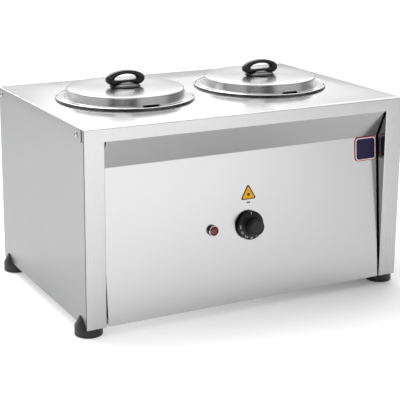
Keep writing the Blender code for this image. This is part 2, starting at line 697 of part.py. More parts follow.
def make_foot(name, sign_x, y):
    """A round foot under the corner, with an ear left standing outside the side panel."""
    x = sign_x * FOOT_X
    chamfer = 0.0015
    profile = [(0.0, EAR_TOP), (EAR_TOP_R, EAR_TOP), (FOOT_R, FOOT_SHOULDER),
               (FOOT_R, -FOOT_DROP + chamfer), (FOOT_R - chamfer, -FOOT_DROP), (0.0, -FOOT_DROP)]
    foot = turned(name, profile, FOOT_PLASTIC, steps=28, at=(x, y, BODY_Z))
    face = sign_x * (WIDTH / 2 - PANEL_INSET + GAP)
    inner = x - sign_x * 0.05
    low = (min(face, inner), y - 0.05, BODY_Z - GAP)
    high = (max(face, inner), y + 0.05, BODY_Z + 0.05)
    spot = (x, y, 0.0)
    cut(foot, box_cutter(f"{name}_seat", low, high),
        drum_cutter(f"{name}_bore", FOOT_SCREW_R + GAP, -0.002, BODY_Z + 0.002, spot, steps=16),
        drum_cutter(f"{name}_counterbore", 0.0065, -0.002, 0.011, spot, steps=20))
    head = [(0.0, 0.020), (FOOT_SCREW_R, 0.020), (FOOT_SCREW_R, 0.011 - GAP), (0.0052, 0.011 - GAP),
            (0.0048, 0.0075), (0.0, 0.0070)]
    turned(f"{name}_screw", head, ZINC, steps=12, at=spot)


def make_feet():
    """Four feet, two of them mirrored by their side, and the base plate's holes for them."""
    tools = []
    for side, sign in (("left", -1), ("right", 1)):
        for end, y in zip(("front", "rear"), FOOT_YS):
            make_foot(f"{end}_{side}_foot", sign, y)
            spot = (sign * FOOT_X, y, BODY_Z)
            tools.append(drum_cutter(f"base_hole_{end}_{side}", FOOT_SCREW_R + GAP, -0.002, 0.004, spot,
                                     steps=16))
    return tools


def make_cover_screws():
    """Pan-head screws that hold the top cover's flanges to the side and back panels."""
    head = [(0.0, 0.0024), (0.0022, 0.0021), (0.0038, 0.0013), (0.0045, GAP), (0.0019, GAP),
            (0.0019, -0.007), (0.0, -0.007)]
    sides, rear = cover_screw_places()
    for x, y, sign in sides:
        end = "front" if y < 0 else "rear"
        side = "left" if sign < 0 else "right"
        turned(f"cover_screw_{side}_{end}", head, ZINC, steps=12, at=(x, y, COVER_SCREW_Z),
               turn=(0, sign * math.pi / 2, 0))
    for x, y, _ in rear:
        side = "left" if x < 0 else "right"
        turned(f"rear_screw_{side}", head, ZINC, steps=12, at=(x, y, COVER_SCREW_Z),
               turn=(-math.pi / 2, 0, 0))


def make_cable_gland():
    """Body, seal, dome nut and lock nut of the mains cable gland; its Z points backwards."""
    at = (GLAND_X, BACK_FACE_Y, GLAND_Z)
    turn = (-math.pi / 2, 0, 0)
    bore = 0.0040
    collar = 0.004
    body = [(0.0075, 0.0105), (0.0075, collar), (GLAND_R, collar), (GLAND_R, GAP), (0.0078, GAP),
            (0.0078, -0.009), (bore, -0.009), (bore, 0.0105)]
    turned("cable_gland_body", body, GLAND_PLASTIC, steps=16, ring=True, at=at, turn=turn)
    seal = [(0.0072, 0.0145), (0.0072, 0.0105 + GAP), (0.0036, 0.0105 + GAP), (0.0036, 0.0145)]
    turned("cable_gland_seal", seal, SEAL_RUBBER, steps=16, ring=True, at=at, turn=turn)
    reach = GLAND_REACH + PANEL_INSET
    nut = [(0.0060, reach), (0.0095, reach - 0.003), (GLAND_R, reach - 0.006), (GLAND_R, collar + GAP),
           (0.0078, collar + GAP), (0.0078, 0.0150), (0.0045, 0.0155), (0.0045, reach)]
    turned("cable_gland_nut", nut, GLAND_PLASTIC, steps=16, ring=True, at=at, turn=turn)
    inner_face = -SHEET - GAP
    lock = add("cable_gland_locknut", drum_mesh(0.0125, inner_face - 0.004, inner_face, 6, name="locknut"),
               GLAND_PLASTIC, at, turn)
    cut(lock, drum_cutter("locknut_bore", 0.0081, -0.010, 0.004, at, turn))


def make_earth_stud():
    """The earth stud through the back panel and its nut outside."""
    at = (EARTH_X, BACK_FACE_Y, GLAND_Z)
    turn = (-math.pi / 2, 0, 0)
    stud = [(0.0, 0.010), (0.0024, 0.010), (0.0024, -SHEET - GAP), (0.0050, -SHEET - GAP),
            (0.0050, -0.0045), (0.0, -0.0045)]
    turned("earth_stud", stud, ZINC, steps=16, at=at, turn=turn)
    nut = add("earth_nut", drum_mesh(0.0046, GAP, 0.0040, 6, name="earth_nut"), BRASS, at, turn)
    cut(nut, drum_cutter("earth_nut_bore", 0.0027, -0.002, 0.006, at, turn, steps=16))


def rounded_route(corners, radius, steps=4):
    """Points along straight runs whose corners are rounded off."""
    corners = [Vector(c) for c in corners]
    points = [corners[0]]
    for before, corner, after in zip(corners, corners[1:], corners[2:]):
        start = corner + (before - corner).normalized() * radius
        stop = corner + (after - corner).normalized() * radius
        for i in range(steps + 1):
            t = i / steps
            points.append(start * (1 - t) ** 2 + corner * 2 * t * (1 - t) + stop * t ** 2)
    return points + [corners[-1]]


def make_wiring(panel):
    """Terminal block in the tray and the wires from it to the heater, thermostat and earth."""
    low = (GLAND_X - 0.030, BACK_Y - 0.075, BODY_Z + 0.0026)
    high = (GLAND_X + 0.006, BACK_Y - 0.055, BODY_Z + 0.020)
    block = add("terminal_block", box_mesh(low, high, "terminal_block"), TERMINAL)
    port_z = BODY_Z + 0.012
    port_xs = [low[0] + 0.006 + 0.012 * i for i in range(3)]
    for i, x in enumerate(port_xs):
        cut(block, drum_cutter(f"port_{i}", 0.0024, -0.010, 0.010, (x, low[1], port_z), ALONG_Y, steps=12))
    start_y = low[1] + 0.006
    heater_lane = TANK_FRONT_Y - 0.0235
    thermostat_lane = FRONT_Y + 0.030
    under_element = ELEMENT_Z - ELEMENT_R - 2 * GAP
    under_thermostat = BODY_Z + KNOB_HEIGHT - THERMOSTAT_SIZE[1] / 2 - 0.004
    stud_y = BACK_FACE_Y - 0.0045 - GAP
    loop_y = start_y - 0.022
    routes = (
        ("wire_earth", WIRE_EARTH, [(port_xs[0], start_y, port_z), (port_xs[0], loop_y, port_z),
                                    (EARTH_X, loop_y, port_z), (EARTH_X, loop_y, GLAND_Z),
                                    (EARTH_X, stud_y, GLAND_Z)]),
        ("wire_neutral", WIRE_BLUE, [(port_xs[1], start_y, port_z), (port_xs[1], heater_lane, port_z),
                                     (-ELEMENT_END_X, heater_lane, port_z),
                                     (-ELEMENT_END_X, heater_lane, under_element)]),
        ("wire_live", WIRE_BROWN, [(port_xs[2], start_y, port_z), (port_xs[2], thermostat_lane, port_z),
                                   (0.004, thermostat_lane, port_z),
                                   (0.004, thermostat_lane, under_thermostat)]),
    )
    for name, paint, corners in routes:
        add(name, tube_curve(name, rounded_route(corners, 0.008), 0.0014), paint)
    back = -0.036
    side = -THERMOSTAT_SIZE[0] / 2
    lamp_route = [(LAMP_X, 0, -0.0243), (LAMP_X, 0, back), (side - 0.012, 0, back),
                  (side - 0.012, 0, back / 2), (side - GAP, 0, back / 2)]
    lamp_wire = tube_curve("wire_lamp", rounded_route(lamp_route, 0.005), 0.0014)
    add("wire_lamp", lamp_wire, WIRE_BLUE, parent=panel)


def make_sensor():
    """The thermostat's bulb in the tank and its capillary out through the front wall."""
    bulb_z = ELEMENT_Z + 0.016
    y_in = TANK_FRONT_Y + 0.010
    start_x = 0.090
    bulb = [Vector((-0.060 + 0.020 * i, y_in, bulb_z)) for i in range(5)]
    thin = [Vector((0.028, y_in, bulb_z)), Vector((0.060, y_in, bulb_z)), Vector((0.080, y_in - 0.002, bulb_z)),
            Vector((start_x, y_in - 0.008, bulb_z)), Vector((start_x, TANK_FRONT_Y - 0.010, bulb_z)),
            Vector((start_x - 0.010, TANK_FRONT_Y - 0.024, bulb_z + 0.004)),
            Vector((0.050, TANK_FRONT_Y - 0.030, bulb_z + 0.012)),
            Vector((0.030, TANK_FRONT_Y - 0.034, BODY_Z + KNOB_HEIGHT))]
    sizes = [1.0] * len(bulb) + [0.3] * len(thin)
    add("thermostat_bulb", tube_curve("thermostat_bulb", bulb + thin, 0.003, sizes), ZINC)
    hole = drum_cutter("capillary_hole", 0.0016, -0.006, 0.006, (start_x, TANK_FRONT_Y, bulb_z), ALONG_Y,
                       steps=16)
    return hole


def build():
    """Make every piece of the soup warmer."""
    left_holes, right_holes, rear_holes = cover_screw_cutters()
    pot_holes = [drum_cutter(f"pot_hole_{side}", HOLE_R, -0.010, 0.010, (x, POT_Y, TOP_Z), steps=48)
                 for side, x in (("left", -POT_X), ("right", POT_X))]
    make_top_cover((left_holes, right_holes, rear_holes), pot_holes)
    make_front_frame()
    make_side_panel("left_side_panel", -1, left_holes)
    make_side_panel("right_side_panel", 1, right_holes)
    gland_tool = drum_cutter("gland_hole", 0.0082, -0.006, 0.006, (GLAND_X, BACK_Y, GLAND_Z), ALONG_Y)
    earth_tool = drum_cutter("earth_hole", 0.0027, -0.006, 0.006, (EARTH_X, BACK_Y, GLAND_Z), ALONG_Y,
                             steps=16)
    make_back_panel(rear_holes, gland_tool, earth_tool)
    make_base_plate(make_feet())
    panel = panel_empty()
    make_control_panel(panel_holes(panel))
    make_knob(panel)
    make_thermostat(panel)
    make_lamp(panel)
    make_signs(panel)
    make_tank(element_holes("tank") + [make_sensor()])
    make_heater()
    for side, x in (("left", -POT_X), ("right", POT_X)):
        make_pot(f"{side}_pot", x)
        make_lid(f"{side}_lid", x)
        make_lid_handle(side, x)
    make_cover_screws()
    make_cable_gland()
    make_earth_stud()
    make_wiring(panel)


build()
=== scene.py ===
import json
import math

import bmesh
import bpy
from mathutils import Matrix, Vector


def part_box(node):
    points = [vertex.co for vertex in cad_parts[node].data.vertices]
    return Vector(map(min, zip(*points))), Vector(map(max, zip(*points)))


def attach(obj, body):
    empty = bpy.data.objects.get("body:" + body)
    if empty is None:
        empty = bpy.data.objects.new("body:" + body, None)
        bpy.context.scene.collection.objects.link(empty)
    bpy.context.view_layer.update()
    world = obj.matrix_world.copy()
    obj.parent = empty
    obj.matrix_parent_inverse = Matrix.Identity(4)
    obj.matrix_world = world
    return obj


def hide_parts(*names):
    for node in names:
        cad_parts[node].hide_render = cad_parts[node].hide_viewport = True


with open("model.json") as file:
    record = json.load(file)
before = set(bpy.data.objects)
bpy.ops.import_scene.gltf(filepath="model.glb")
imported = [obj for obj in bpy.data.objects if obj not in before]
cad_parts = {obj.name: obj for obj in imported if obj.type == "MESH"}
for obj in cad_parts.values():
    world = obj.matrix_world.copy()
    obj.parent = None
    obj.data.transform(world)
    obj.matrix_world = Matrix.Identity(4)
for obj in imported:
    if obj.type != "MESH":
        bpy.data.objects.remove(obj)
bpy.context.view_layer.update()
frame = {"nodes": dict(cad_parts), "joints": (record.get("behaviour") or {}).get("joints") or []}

# ---------------------------------------------------------------- sizes in metres

COVER_LOW, COVER_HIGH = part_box("top_cover")
FRAME_LOW, FRAME_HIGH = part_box("front_frame")
PANEL_LOW, PANEL_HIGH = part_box("control_panel")
TOP_Z = COVER_HIGH.z
FRONT_Y = COVER_LOW.y
BODY_Z = FRAME_LOW.z
SHEET = 0.001
GAP = 0.0003
BEND_R = 0.0016                  # outside radius where a sheet is folded
BROKEN = 0.0002                  # cut edges, broken by the finishing
PRINT = 0.00012                  # thickness of ink
FOOT_SCREW = (0.0052, 0.0034)    # radius and height of a screw's head
COVER_SCREW = (0.0045, 0.0024)
FLUSH = 0.000125                 # how far faces that lie flush are kept apart
STEEP = 0.6                      # a face counts as upright when its normal's Z is under this

BAR_WIDTH = 0.034
CHEEK_DEPTH = FRAME_HIGH.y - FRONT_Y
WINDOW_TOP = PANEL_HIGH.z - 0.001
FLANGE_SETBACK = 0.013
COVER_HOLE_R = 0.1185
FOLD_RISE = 0.2545               # height of the panel's fold over the foot of the cabinet
SIDE_X = 0.299                   # outer face of the side panels
BACK_Y = 0.199                   # outer face of the back panel
SEAM_WIDTH = 0.0036              # open joint between the front sheet and a side panel
SEAM_HALF = 0.0008               # half the thickness of the dark strip put in it as painted shade

POT_LOW, POT_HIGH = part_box("left_pot")
LID_LOW, LID_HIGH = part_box("left_lid")
RIM_R = (POT_HIGH.x - POT_LOW.x) / 2
LID_R = (LID_HIGH.x - LID_LOW.x) / 2
HAT_R = 0.1022
HAT_FLARE = 0.0022               # the lid's wall spreads by this much down to its flange
LID_REST = LID_LOW.z - TOP_Z
LID_TOP = LID_HIGH.z - TOP_Z
LID_SHEET = 0.0008
POT_R = 0.117
POT_WALL = 0.0008
POT_FLOOR = POT_LOW.z - TOP_Z
NOTCH_WIDTH = 0.030
NOTCH_REACH = HAT_R - 0.0015     # how near the lid's middle the ladle notch comes
NOTCH_RISE = 0.0035
ROUND = 128

DISH_LOW, DISH_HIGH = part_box("left_handle_dish")
DISH_R = (DISH_HIGH.x - DISH_LOW.x) / 2
DISH_HEIGHT = DISH_HIGH.z - DISH_LOW.z
RING_LOW, RING_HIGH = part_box("left_lid_handle")
RING_HALF = (RING_HIGH.x - RING_LOW.x) / 2
RING_TOP = RING_HIGH.z - DISH_LOW.z
RING_THICK = RING_HIGH.y - RING_LOW.y

JOINTS = {j["name"]: j for j in frame["joints"]}
KNOB_SPOT = Vector(JOINTS["knob_turn"]["pos_m"])
PANEL_OUT = -Vector(JOINTS["knob_turn"]["axis"]).normalized()
SKIRT_R = 0.0245
GRIP_R = 0.0140
KNOB_FRONT = 0.028
SHOULDER = 0.008                 # where the knob's skirt meets its grip
KNOB_BACK = 0.004
LAMP_R = 0.009
LAMP_REACH = 0.0066
LAMP_HOLE = 0.0076
LENS_R = 0.0075
STICKER_UP = 0.0435              # heights on the panel over the knob's axis
INDEX_UP = 0.0385
BADGE_UP = 0.1040


def panel_matrix():
    """Where the panel's face is at the knob: its Z points out, its Y up the panel."""
    side = Vector((1, 0, 0))
    up = PANEL_OUT.cross(side).normalized()
    return Matrix.Translation(KNOB_SPOT) @ Matrix((side, up, PANEL_OUT)).transposed().to_4x4()


PANEL = panel_matrix()


# ---------------------------------------------------------------- node helpers

class Tree:
    """A node tree with short calls for the nodes that finishes and surroundings share."""

    def __init__(self, owner):
        owner.use_nodes = True
        self.tree = owner.node_tree

    def node(self, kind, **inputs):
        """A node with its inputs set from values or linked from sockets."""
        made = self.tree.nodes.new(kind)
        for key, value in inputs.items():
            self.feed(made.inputs[key.replace("_", " ")], value)
        return made

    def feed(self, socket, value):
        """Link a socket, or set its value."""
        if isinstance(value, bpy.types.NodeSocket):
            self.tree.links.new(value, socket)
        else:
            socket.default_value = value

    def math(self, operation, first, second=0.0):
        """One arithmetic step."""
        made = self.tree.nodes.new("ShaderNodeMath")
        made.operation = operation
        self.feed(made.inputs[0], first)
        self.feed(made.inputs[1], second)
        return made.outputs[0]

    def vector(self, operation, first):
        """One step on a vector."""
        made = self.tree.nodes.new("ShaderNodeVectorMath")
        made.operation = operation
        self.feed(made.inputs[0], first)
        return made


class Nodes(Tree):
    """A material's node tree."""

    def __init__(self, name):
        self.material = bpy.data.materials.new(name)
        super().__init__(self.material)
        self.shader = self.tree.nodes["Principled BSDF"]

    def set(self, **values):
        """Constant values on the shader; underscores stand for spaces."""
        for key, value in values.items():
            self.shader.inputs[key.replace("_", " ")].default_value = value
        return self

    def stretched(self, stretch):
        """Object coordinates in metres, scaled on each axis."""
        coords = self.node("ShaderNodeTexCoord").outputs["Object"]
        return self.node("ShaderNodeMapping", Vector=coords, Scale=stretch).outputs["Vector"]

    def rings(self, across, along):
        """Coordinates that follow circles round the object's own Z axis."""
        coords = self.node("ShaderNodeTexCoord").outputs["Object"]
        split = self.node("ShaderNodeSeparateXYZ", Vector=coords).outputs
        level = self.node("ShaderNodeCombineXYZ", X=split["X"], Y=split["Y"])
        length = self.vector("LENGTH", level.outputs[0]).outputs["Value"]
        radius = self.math("MULTIPLY", length, across)
        height = self.math("MULTIPLY", split["Z"], across)
        turn = self.math("MULTIPLY", self.math("ARCTAN2", split["Y"], split["X"]), along)
        return self.node("ShaderNodeCombineXYZ", X=radius, Y=height, Z=turn).outputs[0]

    def noise(self, vector, scale, detail):
        """Noise value on the given coordinates."""
        return self.node("ShaderNodeTexNoise", Vector=vector, Scale=scale, Detail=detail,
                         Roughness=0.6).outputs["Fac"]

    def between(self, value, low, high, lowest=0.3, highest=0.7):
        """A value between low and high, as value goes from lowest to highest."""
        return self.node("ShaderNodeMapRange", Value=value, From_Min=lowest, From_Max=highest,
                         To_Min=low, To_Max=high).outputs["Result"]

    def blend(self, value, first, second):
        """A colour between two, by value."""
        made = self.tree.nodes.new("ShaderNodeMix")
        made.data_type = "RGBA"
        self.feed(made.inputs[0], value)
        self.feed(made.inputs[6], (*first, 1.0))
        self.feed(made.inputs[7], (*second, 1.0))
        return made.outputs[2]

    def bump(self, height, strength, distance):
        """Raise the surface by a height value."""
        made = self.node("ShaderNodeBump", Height=height, Strength=strength, Distance=distance)
        self.feed(self.shader.inputs["Normal"], made.outputs["Normal"])
        return self


def steel(n, grain, cloud_scale, share, tone, rough, spread, depth=0.00002):
    """Stainless with the given grain and faint cloudiness from wiping."""
    cloud = n.noise(n.stretched((1, 1, 1)), cloud_scale, 3.0)
    bright = n.math("ADD", n.math("MULTIPLY", grain, share), n.math("MULTIPLY", cloud, 1.0 - share))
    dark = tuple(0.985 * c for c in tone)
    n.feed(n.shader.inputs["Base Color"], n.blend(n.between(bright, 0.0, 1.0), dark, tone))
    n.feed(n.shader.inputs["Roughness"], n.between(bright, rough * spread[0], rough * spread[1]))
    return n.bump(grain, 0.09, depth).set(Metallic=1.0).material


def brushed_steel(name, tone, rough, stretch, depth=0.00002):
    """Stainless sheet with a fine straight grain."""
    n = Nodes(name)
    return steel(n, n.noise(n.stretched(stretch), 1.0, 4.0), 9.0, 0.6, tone, rough, (0.88, 1.14), depth)


def spun_steel(name, tone, rough):
    """Stainless turned on a lathe: the grain runs in circles."""
    n = Nodes(name)
    round_way = n.node("ShaderNodeTangent")
    round_way.direction_type = "RADIAL"
    round_way.axis = "Z"
    n.feed(n.shader.inputs["Tangent"], round_way.outputs["Tangent"])
    n.set(Anisotropic=0.55, Anisotropic_Rotation=0.25)
    return steel(n, n.noise(n.rings(1400.0, 1.2), 1.0, 4.0), 14.0, 0.5, tone, rough, (0.85, 1.2))


def cast(name, tone, rough, grain_scale, depth, metal=0.0, coat=0.0, shine=0.5):
    """Moulded plastic or plated metal: fine pitted skin and uneven gloss."""
    n = Nodes(name)
    skin = n.noise(n.stretched((1, 1, 1)), grain_scale, 4.0)
    cloud = n.noise(n.stretched((1, 1, 1)), grain_scale / 18.0, 2.0)
    dark = tuple(0.82 * c for c in tone)
    n.feed(n.shader.inputs["Base Color"], n.blend(n.between(cloud, 0.0, 1.0), dark, tone))
    n.feed(n.shader.inputs["Roughness"], n.between(n.math("MULTIPLY", n.math("ADD", skin, cloud), 0.5),
                                                   rough * 0.8, rough * 1.25))
    n.set(Metallic=metal, Coat_Weight=coat, Coat_Roughness=0.08, Specular_IOR_Level=shine)
    return n.bump(skin, 0.35, depth).material


def printed(name, tone, rough=0.4):
    """Ink or enamel, a little uneven."""
    return cast(name, tone, rough, 2600.0, 0.00001, shine=0.2)


def lamp_red(name):
    """Ribbed translucent red lens."""
    n = Nodes(name)
    ribs = n.noise(n.rings(2600.0, 0.4), 1.0, 1.0)
    n.feed(n.shader.inputs["Roughness"], n.between(ribs, 0.10, 0.22))
    n.set(Base_Color=(0.15, 0.006, 0.007, 1.0), Transmission_Weight=0.25, Coat_Weight=0.2)
    return n.bump(ribs, 0.5, 0.00006).material


GRAIN_X = (3.0, 1500.0, 1500.0)
GRAIN_Z = (1500.0, 1500.0, 3.0)
GRAIN_Y = (1500.0, 3.0, 1500.0)
TOP_STEEL = brushed_steel("top_steel", (0.62, 0.62, 0.62), 0.18, GRAIN_X)
# The front, panel, side, facet and cheek tones below are the top sheet's stainless made darker: painted
# shade, set piece by piece.
SHADED_FRONT_STEEL = brushed_steel("front_steel", (0.46, 0.46, 0.46), 0.27, GRAIN_Z)
SHADED_PANEL_STEEL = brushed_steel("panel_steel", (0.455, 0.455, 0.455), 0.20, GRAIN_X, 0.000012)
SHADED_SIDE_STEEL = brushed_steel("side_steel", (0.275, 0.275, 0.278), 0.32, GRAIN_Y)
SHADED_FACET_STEEL = brushed_steel("facet_steel", (0.36, 0.36, 0.36), 0.20, GRAIN_X)
SHADED_CHEEK_STEEL = brushed_steel("cheek_steel", (0.22, 0.22, 0.22), 0.14, GRAIN_Z)
INNER_STEEL = brushed_steel("inner_steel", (0.60, 0.60, 0.60), 0.34, GRAIN_X)
TANK_STEEL = brushed_steel("tank_steel", (0.60, 0.60, 0.60), 0.30, GRAIN_X)
# One spun steel in two tones: darker on the lid's top and flange as painted shade, lighter on its wall as
# painted light.
SHADED_LID_STEEL = spun_steel("lid_steel", (0.45, 0.45, 0.45), 0.22)
LIT_LID_WALL_STEEL = spun_steel("lid_wall_steel", (0.66, 0.66, 0.66), 0.24)
POT_STEEL = spun_steel("pot_steel", (0.72, 0.72, 0.72), 0.18)
SHADED_RIM_STEEL = spun_steel("rim_steel", (0.20, 0.20, 0.20), 0.26)
# The dish's very dark tone is a painted reflection of the black ring handle over it.
SHADED_DISH_STEEL = spun_steel("dish_steel", (0.13, 0.13, 0.13), 0.26)
ELEMENT_STEEL = cast("element_steel", (0.26, 0.25, 0.24), 0.42, 900.0, 0.00003, metal=1.0)
ZINC = cast("zinc_plate", (0.50, 0.505, 0.51), 0.18, 1500.0, 0.00002, metal=1.0)
BRASS = cast("brass", (0.70, 0.52, 0.25), 0.32, 1500.0, 0.00002, metal=1.0)
CHROME = cast("chrome_ring", (0.72, 0.72, 0.73), 0.16, 1500.0, 0.00001, metal=1.0)
BAKELITE = cast("bakelite", (0.011, 0.010, 0.010), 0.24, 1600.0, 0.000015, coat=0.12, shine=0.35)
KNOB_BLACK = cast("knob_black", (0.010, 0.009, 0.009), 0.30, 1600.0, 0.000015, shine=0.28)
FOOT_BLACK = cast("foot_black", (0.009, 0.009, 0.0095), 0.40, 900.0, 0.00004)
GLAND_BLACK = cast("gland_black", (0.022, 0.022, 0.024), 0.42, 900.0, 0.00004)
RUBBER = cast("seal_rubber", (0.025, 0.025, 0.025), 0.72, 700.0, 0.00006)
TRIM_BLACK = cast("trim_black", (0.012, 0.012, 0.012), 0.45, 900.0, 0.00002)
CREAM_PLASTIC = cast("cream_plastic", (0.74, 0.72, 0.66), 0.48, 900.0, 0.00003)
LENS_RED = lamp_red("lens_red")
STICKER_AMBER = printed("sticker_amber", (0.84, 0.43, 0.012), 0.38)
STICKER_DARK = printed("sticker_dark", (0.05, 0.03, 0.015), 0.40)
BADGE_BLUE = cast("badge_blue", (0.010, 0.008, 0.048), 0.34, 1300.0, 0.00002, shine=0.2)
BADGE_WHITE = printed("badge_white", (0.88, 0.82, 0.84), 0.35)
BADGE_RED = printed("badge_red", (0.46, 0.02, 0.035), 0.35)
PRINT_WHITE = printed("print_white", (0.86, 0.86, 0.84), 0.45)
PRINT_RED = printed("print_red", (0.16, 0.020, 0.016), 0.45)
WIRE_BLUE = cast("wire_blue", (0.04, 0.11, 0.42), 0.45, 1200.0, 0.00002)
WIRE_BROWN = cast("wire_brown", (0.19, 0.085, 0.035), 0.45, 1200.0, 0.00002)
WIRE_GREEN = cast("wire_green", (0.30, 0.48, 0.07), 0.45, 1200.0, 0.00002)


# ---------------------------------------------------------------- mesh helpers

def smooth(mesh):
    """Shade a mesh smooth where its faces meet at small angles."""
    mesh.polygons.foreach_set("use_smooth", [True] * len(mesh.polygons))
    mesh.set_sharp_from_angle(angle=math.radians(35))


def put(name, mesh, material, at=None):
    """Add a piece at a place (a matrix)."""
    smooth(mesh)
    made = bpy.data.objects.new(name, mesh)
    bpy.context.scene.collection.objects.link(made)
    made.matrix_world = at or Matrix()
    mesh.materials.clear()
    mesh.materials.append(material)
    return made


def finish_piece(piece, body, slot, *nodes):
    """Bind a piece to its body and hide the nodes it stands for; its slot is not used."""
    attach(piece, body)
    if nodes:
        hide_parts(*nodes)
    return piece


def to_mesh(bm, name):
    """Close a bmesh into mesh data, normals outwards."""
    bmesh.ops.recalc_face_normals(bm, faces=bm.faces)
    mesh = bpy.data.meshes.new(name)
    bm.to_mesh(mesh)
    bm.free()
    return mesh


def bevel(piece, width=BROKEN, angle=35.0):
    """Round a piece's sharp edges."""
    step = piece.modifiers.new("edge", "BEVEL")
    step.width = width
    step.segments = 2
    step.limit_method = "ANGLE"
    step.angle_limit = math.radians(angle)
    step.harden_normals = True
    return piece


def thicken(piece):
    """Give a surface its sheet thickness, behind it."""
    step = piece.modifiers.new("sheet", "SOLIDIFY")
    step.thickness = SHEET
    step.offset = -1.0
    step.use_even_offset = True
    return piece


def cut(piece, *tools):
    """Take tools away from a piece for good."""
    for tool in tools:
        step = piece.modifiers.new("cut", "BOOLEAN")
        step.operation = "DIFFERENCE"
        step.solver = "EXACT"
        step.object = tool
    mesh = evaluated_mesh(piece)
    piece.modifiers.clear()
    piece.data = mesh
    for tool in tools:
        bpy.data.objects.remove(tool, do_unlink=True)
    smooth(mesh)
    return piece


def evaluated_mesh(piece):
    """What a piece's modifiers or its curve make, as mesh data."""
    bpy.context.view_layer.update()
    graph = bpy.context.evaluated_depsgraph_get()
    return bpy.data.meshes.new_from_object(piece.evaluated_get(graph))


def block(low, high, name="block"):
    """A box between two corners, as a tool or a base for bevelled pieces."""
    low, high = Vector(low), Vector(high)
    bm = bmesh.new()
    bmesh.ops.create_cube(bm, size=1.0)
    bmesh.ops.scale(bm, vec=high - low, verts=bm.verts)
    bmesh.ops.translate(bm, vec=(low + high) / 2, verts=bm.verts)
    return to_mesh(bm, name)


def lathe(profile, name, steps=ROUND, ring=False, limit=None):
    """Turn a (radius, height) profile about Z, closed on itself where ring is set.

    limit(radius, angle, height) may pull a point in.
    """
    bm = bmesh.new()
    columns = []
    poles = {}
    for k in range(steps):
        angle = 2 * math.pi * k / steps
        column = []
        for i, (r, z) in enumerate(profile):
            if r < 1e-7:
                if i not in poles:
                    poles[i] = bm.verts.new((0, 0, z))
                column.append(poles[i])
                continue
            reach = limit(r, angle, z) if limit else r
            column.append(bm.verts.new((reach * math.cos(angle), reach * math.sin(angle), z)))
        columns.append(column)
    rows = len(profile)
    last = rows if ring else rows - 1
    for k, column in enumerate(columns):
        beside = columns[(k + 1) % len(columns)]
        for i in range(last):
            j = (i + 1) % rows
            corners = [column[i], beside[i], beside[j], column[j]]
            distinct = list(dict.fromkeys(corners))
            if len(distinct) > 2:
                bm.faces.new(distinct)
    return to_mesh(bm, name)


def turned(name, profile, steps, material, at, body, slot, *nodes, ring=True, limit=None):
    """A lathed piece, put in place and bound."""
    made = put(name, lathe(profile, name, steps, ring, limit), material, at)
    return finish_piece(made, body, slot, *nodes)


def plate(name, outline, low, high, material, at, body, slot, *nodes):
    """A flat piece of one outline, put in place and bound."""
    made = put(name, flat(name, [outline], low, high), material, at)
    return finish_piece(made, body, slot, *nodes)


def middle_of(name):
    """The middle of a frame part's box."""
    low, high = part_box(name)
    return (low + high) / 2


def arc(cx, cy, radius, start, stop, steps):
    """Points on an arc, angles in degrees, both ends included."""
    angles = [math.radians(start + (stop - start) * i / steps) for i in range(steps + 1)]
    return [(cx + radius * math.cos(a), cy + radius * math.sin(a)) for a in angles]


def rounded_rectangle(half_x, half_y, radius, steps=8):
    """Outline of a rectangle with round corners, about the origin."""
    points = []
    for sx, sy, start in ((1, 1, 0), (-1, 1, 90), (-1, -1, 180), (1, -1, 270)):
        points += arc(sx * (half_x - radius), sy * (half_y - radius), radius, start, start + 90, steps)
    return points


def rounded_triangle(half, radius):
    """Outline of an upright triangle with round corners, its base on the X axis."""
    reach = half - radius
    points = []
    for i, (x, y) in enumerate(((reach, 0.0), (0.0, reach * 1.75), (-reach, 0.0))):
        start = -90 + 120 * i
        points += arc(x, y + radius, radius, start, start + 120, 6)
    return points


def flat(name, outlines, low, high):
    """A flat plate from outlines in the XY plane, from height low to high; a single face if equal."""
    curve = bpy.data.curves.new(name, "CURVE")
    curve.dimensions = "2D"
    curve.fill_mode = "BOTH"
    curve.extrude = (high - low) / 2
    for points in outlines:
        spline = curve.splines.new("POLY")
        spline.points.add(len(points) - 1)
        for spot, (x, y) in zip(spline.points, points):
            spot.co = (x, y, 0.0, 1.0)
        spline.use_cyclic_u = True
    return curve_mesh(curve, name, Matrix.Translation((0, 0, (low + high) / 2)))


def curve_mesh(curve, name, move=Matrix()):
    """The welded mesh of a curve."""
    holder = bpy.data.objects.new(name, curve)
    bpy.context.scene.collection.objects.link(holder)
    mesh = evaluated_mesh(holder)
    bpy.data.objects.remove(holder, do_unlink=True)
    mesh.transform(move)
    bm = bmesh.new()
    bm.from_mesh(mesh)
    bmesh.ops.remove_doubles(bm, verts=bm.verts, dist=0.000005)
    bm.to_mesh(mesh)
    bm.free()
    return mesh


def swept(profile, direction, name):
    """A surface swept straight from a profile of points along a direction."""
    bm = bmesh.new()
    verts = [bm.verts.new(p) for p in profile]
    edges = [bm.edges.new(pair) for pair in zip(verts, verts[1:])]
    made = bmesh.ops.extrude_edge_only(bm, edges=edges)["geom"]
    moved = [g for g in made if isinstance(g, bmesh.types.BMVert)]
    bmesh.ops.translate(bm, vec=direction, verts=moved)
    return to_mesh(bm, name)


def bent(points, radius, steps=5):
    """A 3-D polyline whose inner corners are rounded to a radius."""
    points = [Vector(p) for p in points]
    out = [points[0]]
    for before, corner, after in zip(points, points[1:], points[2:]):
        a, b = (before - corner).normalized(), (after - corner).normalized()
        half = a.angle(b) / 2
        back = radius / math.tan(half)
        centre = corner + (a + b).normalized() * (radius / math.sin(half))
        start, stop = corner + a * back - centre, corner + b * back - centre
        turn = start.angle(stop)
        for i in range(steps + 1):
            t = i / steps
            share = (math.sin((1 - t) * turn) * start + math.sin(t * turn) * stop) / math.sin(turn)
            out.append(centre + share)
    return out + [points[-1]]


# ---------------------------------------------------------------- cabinet

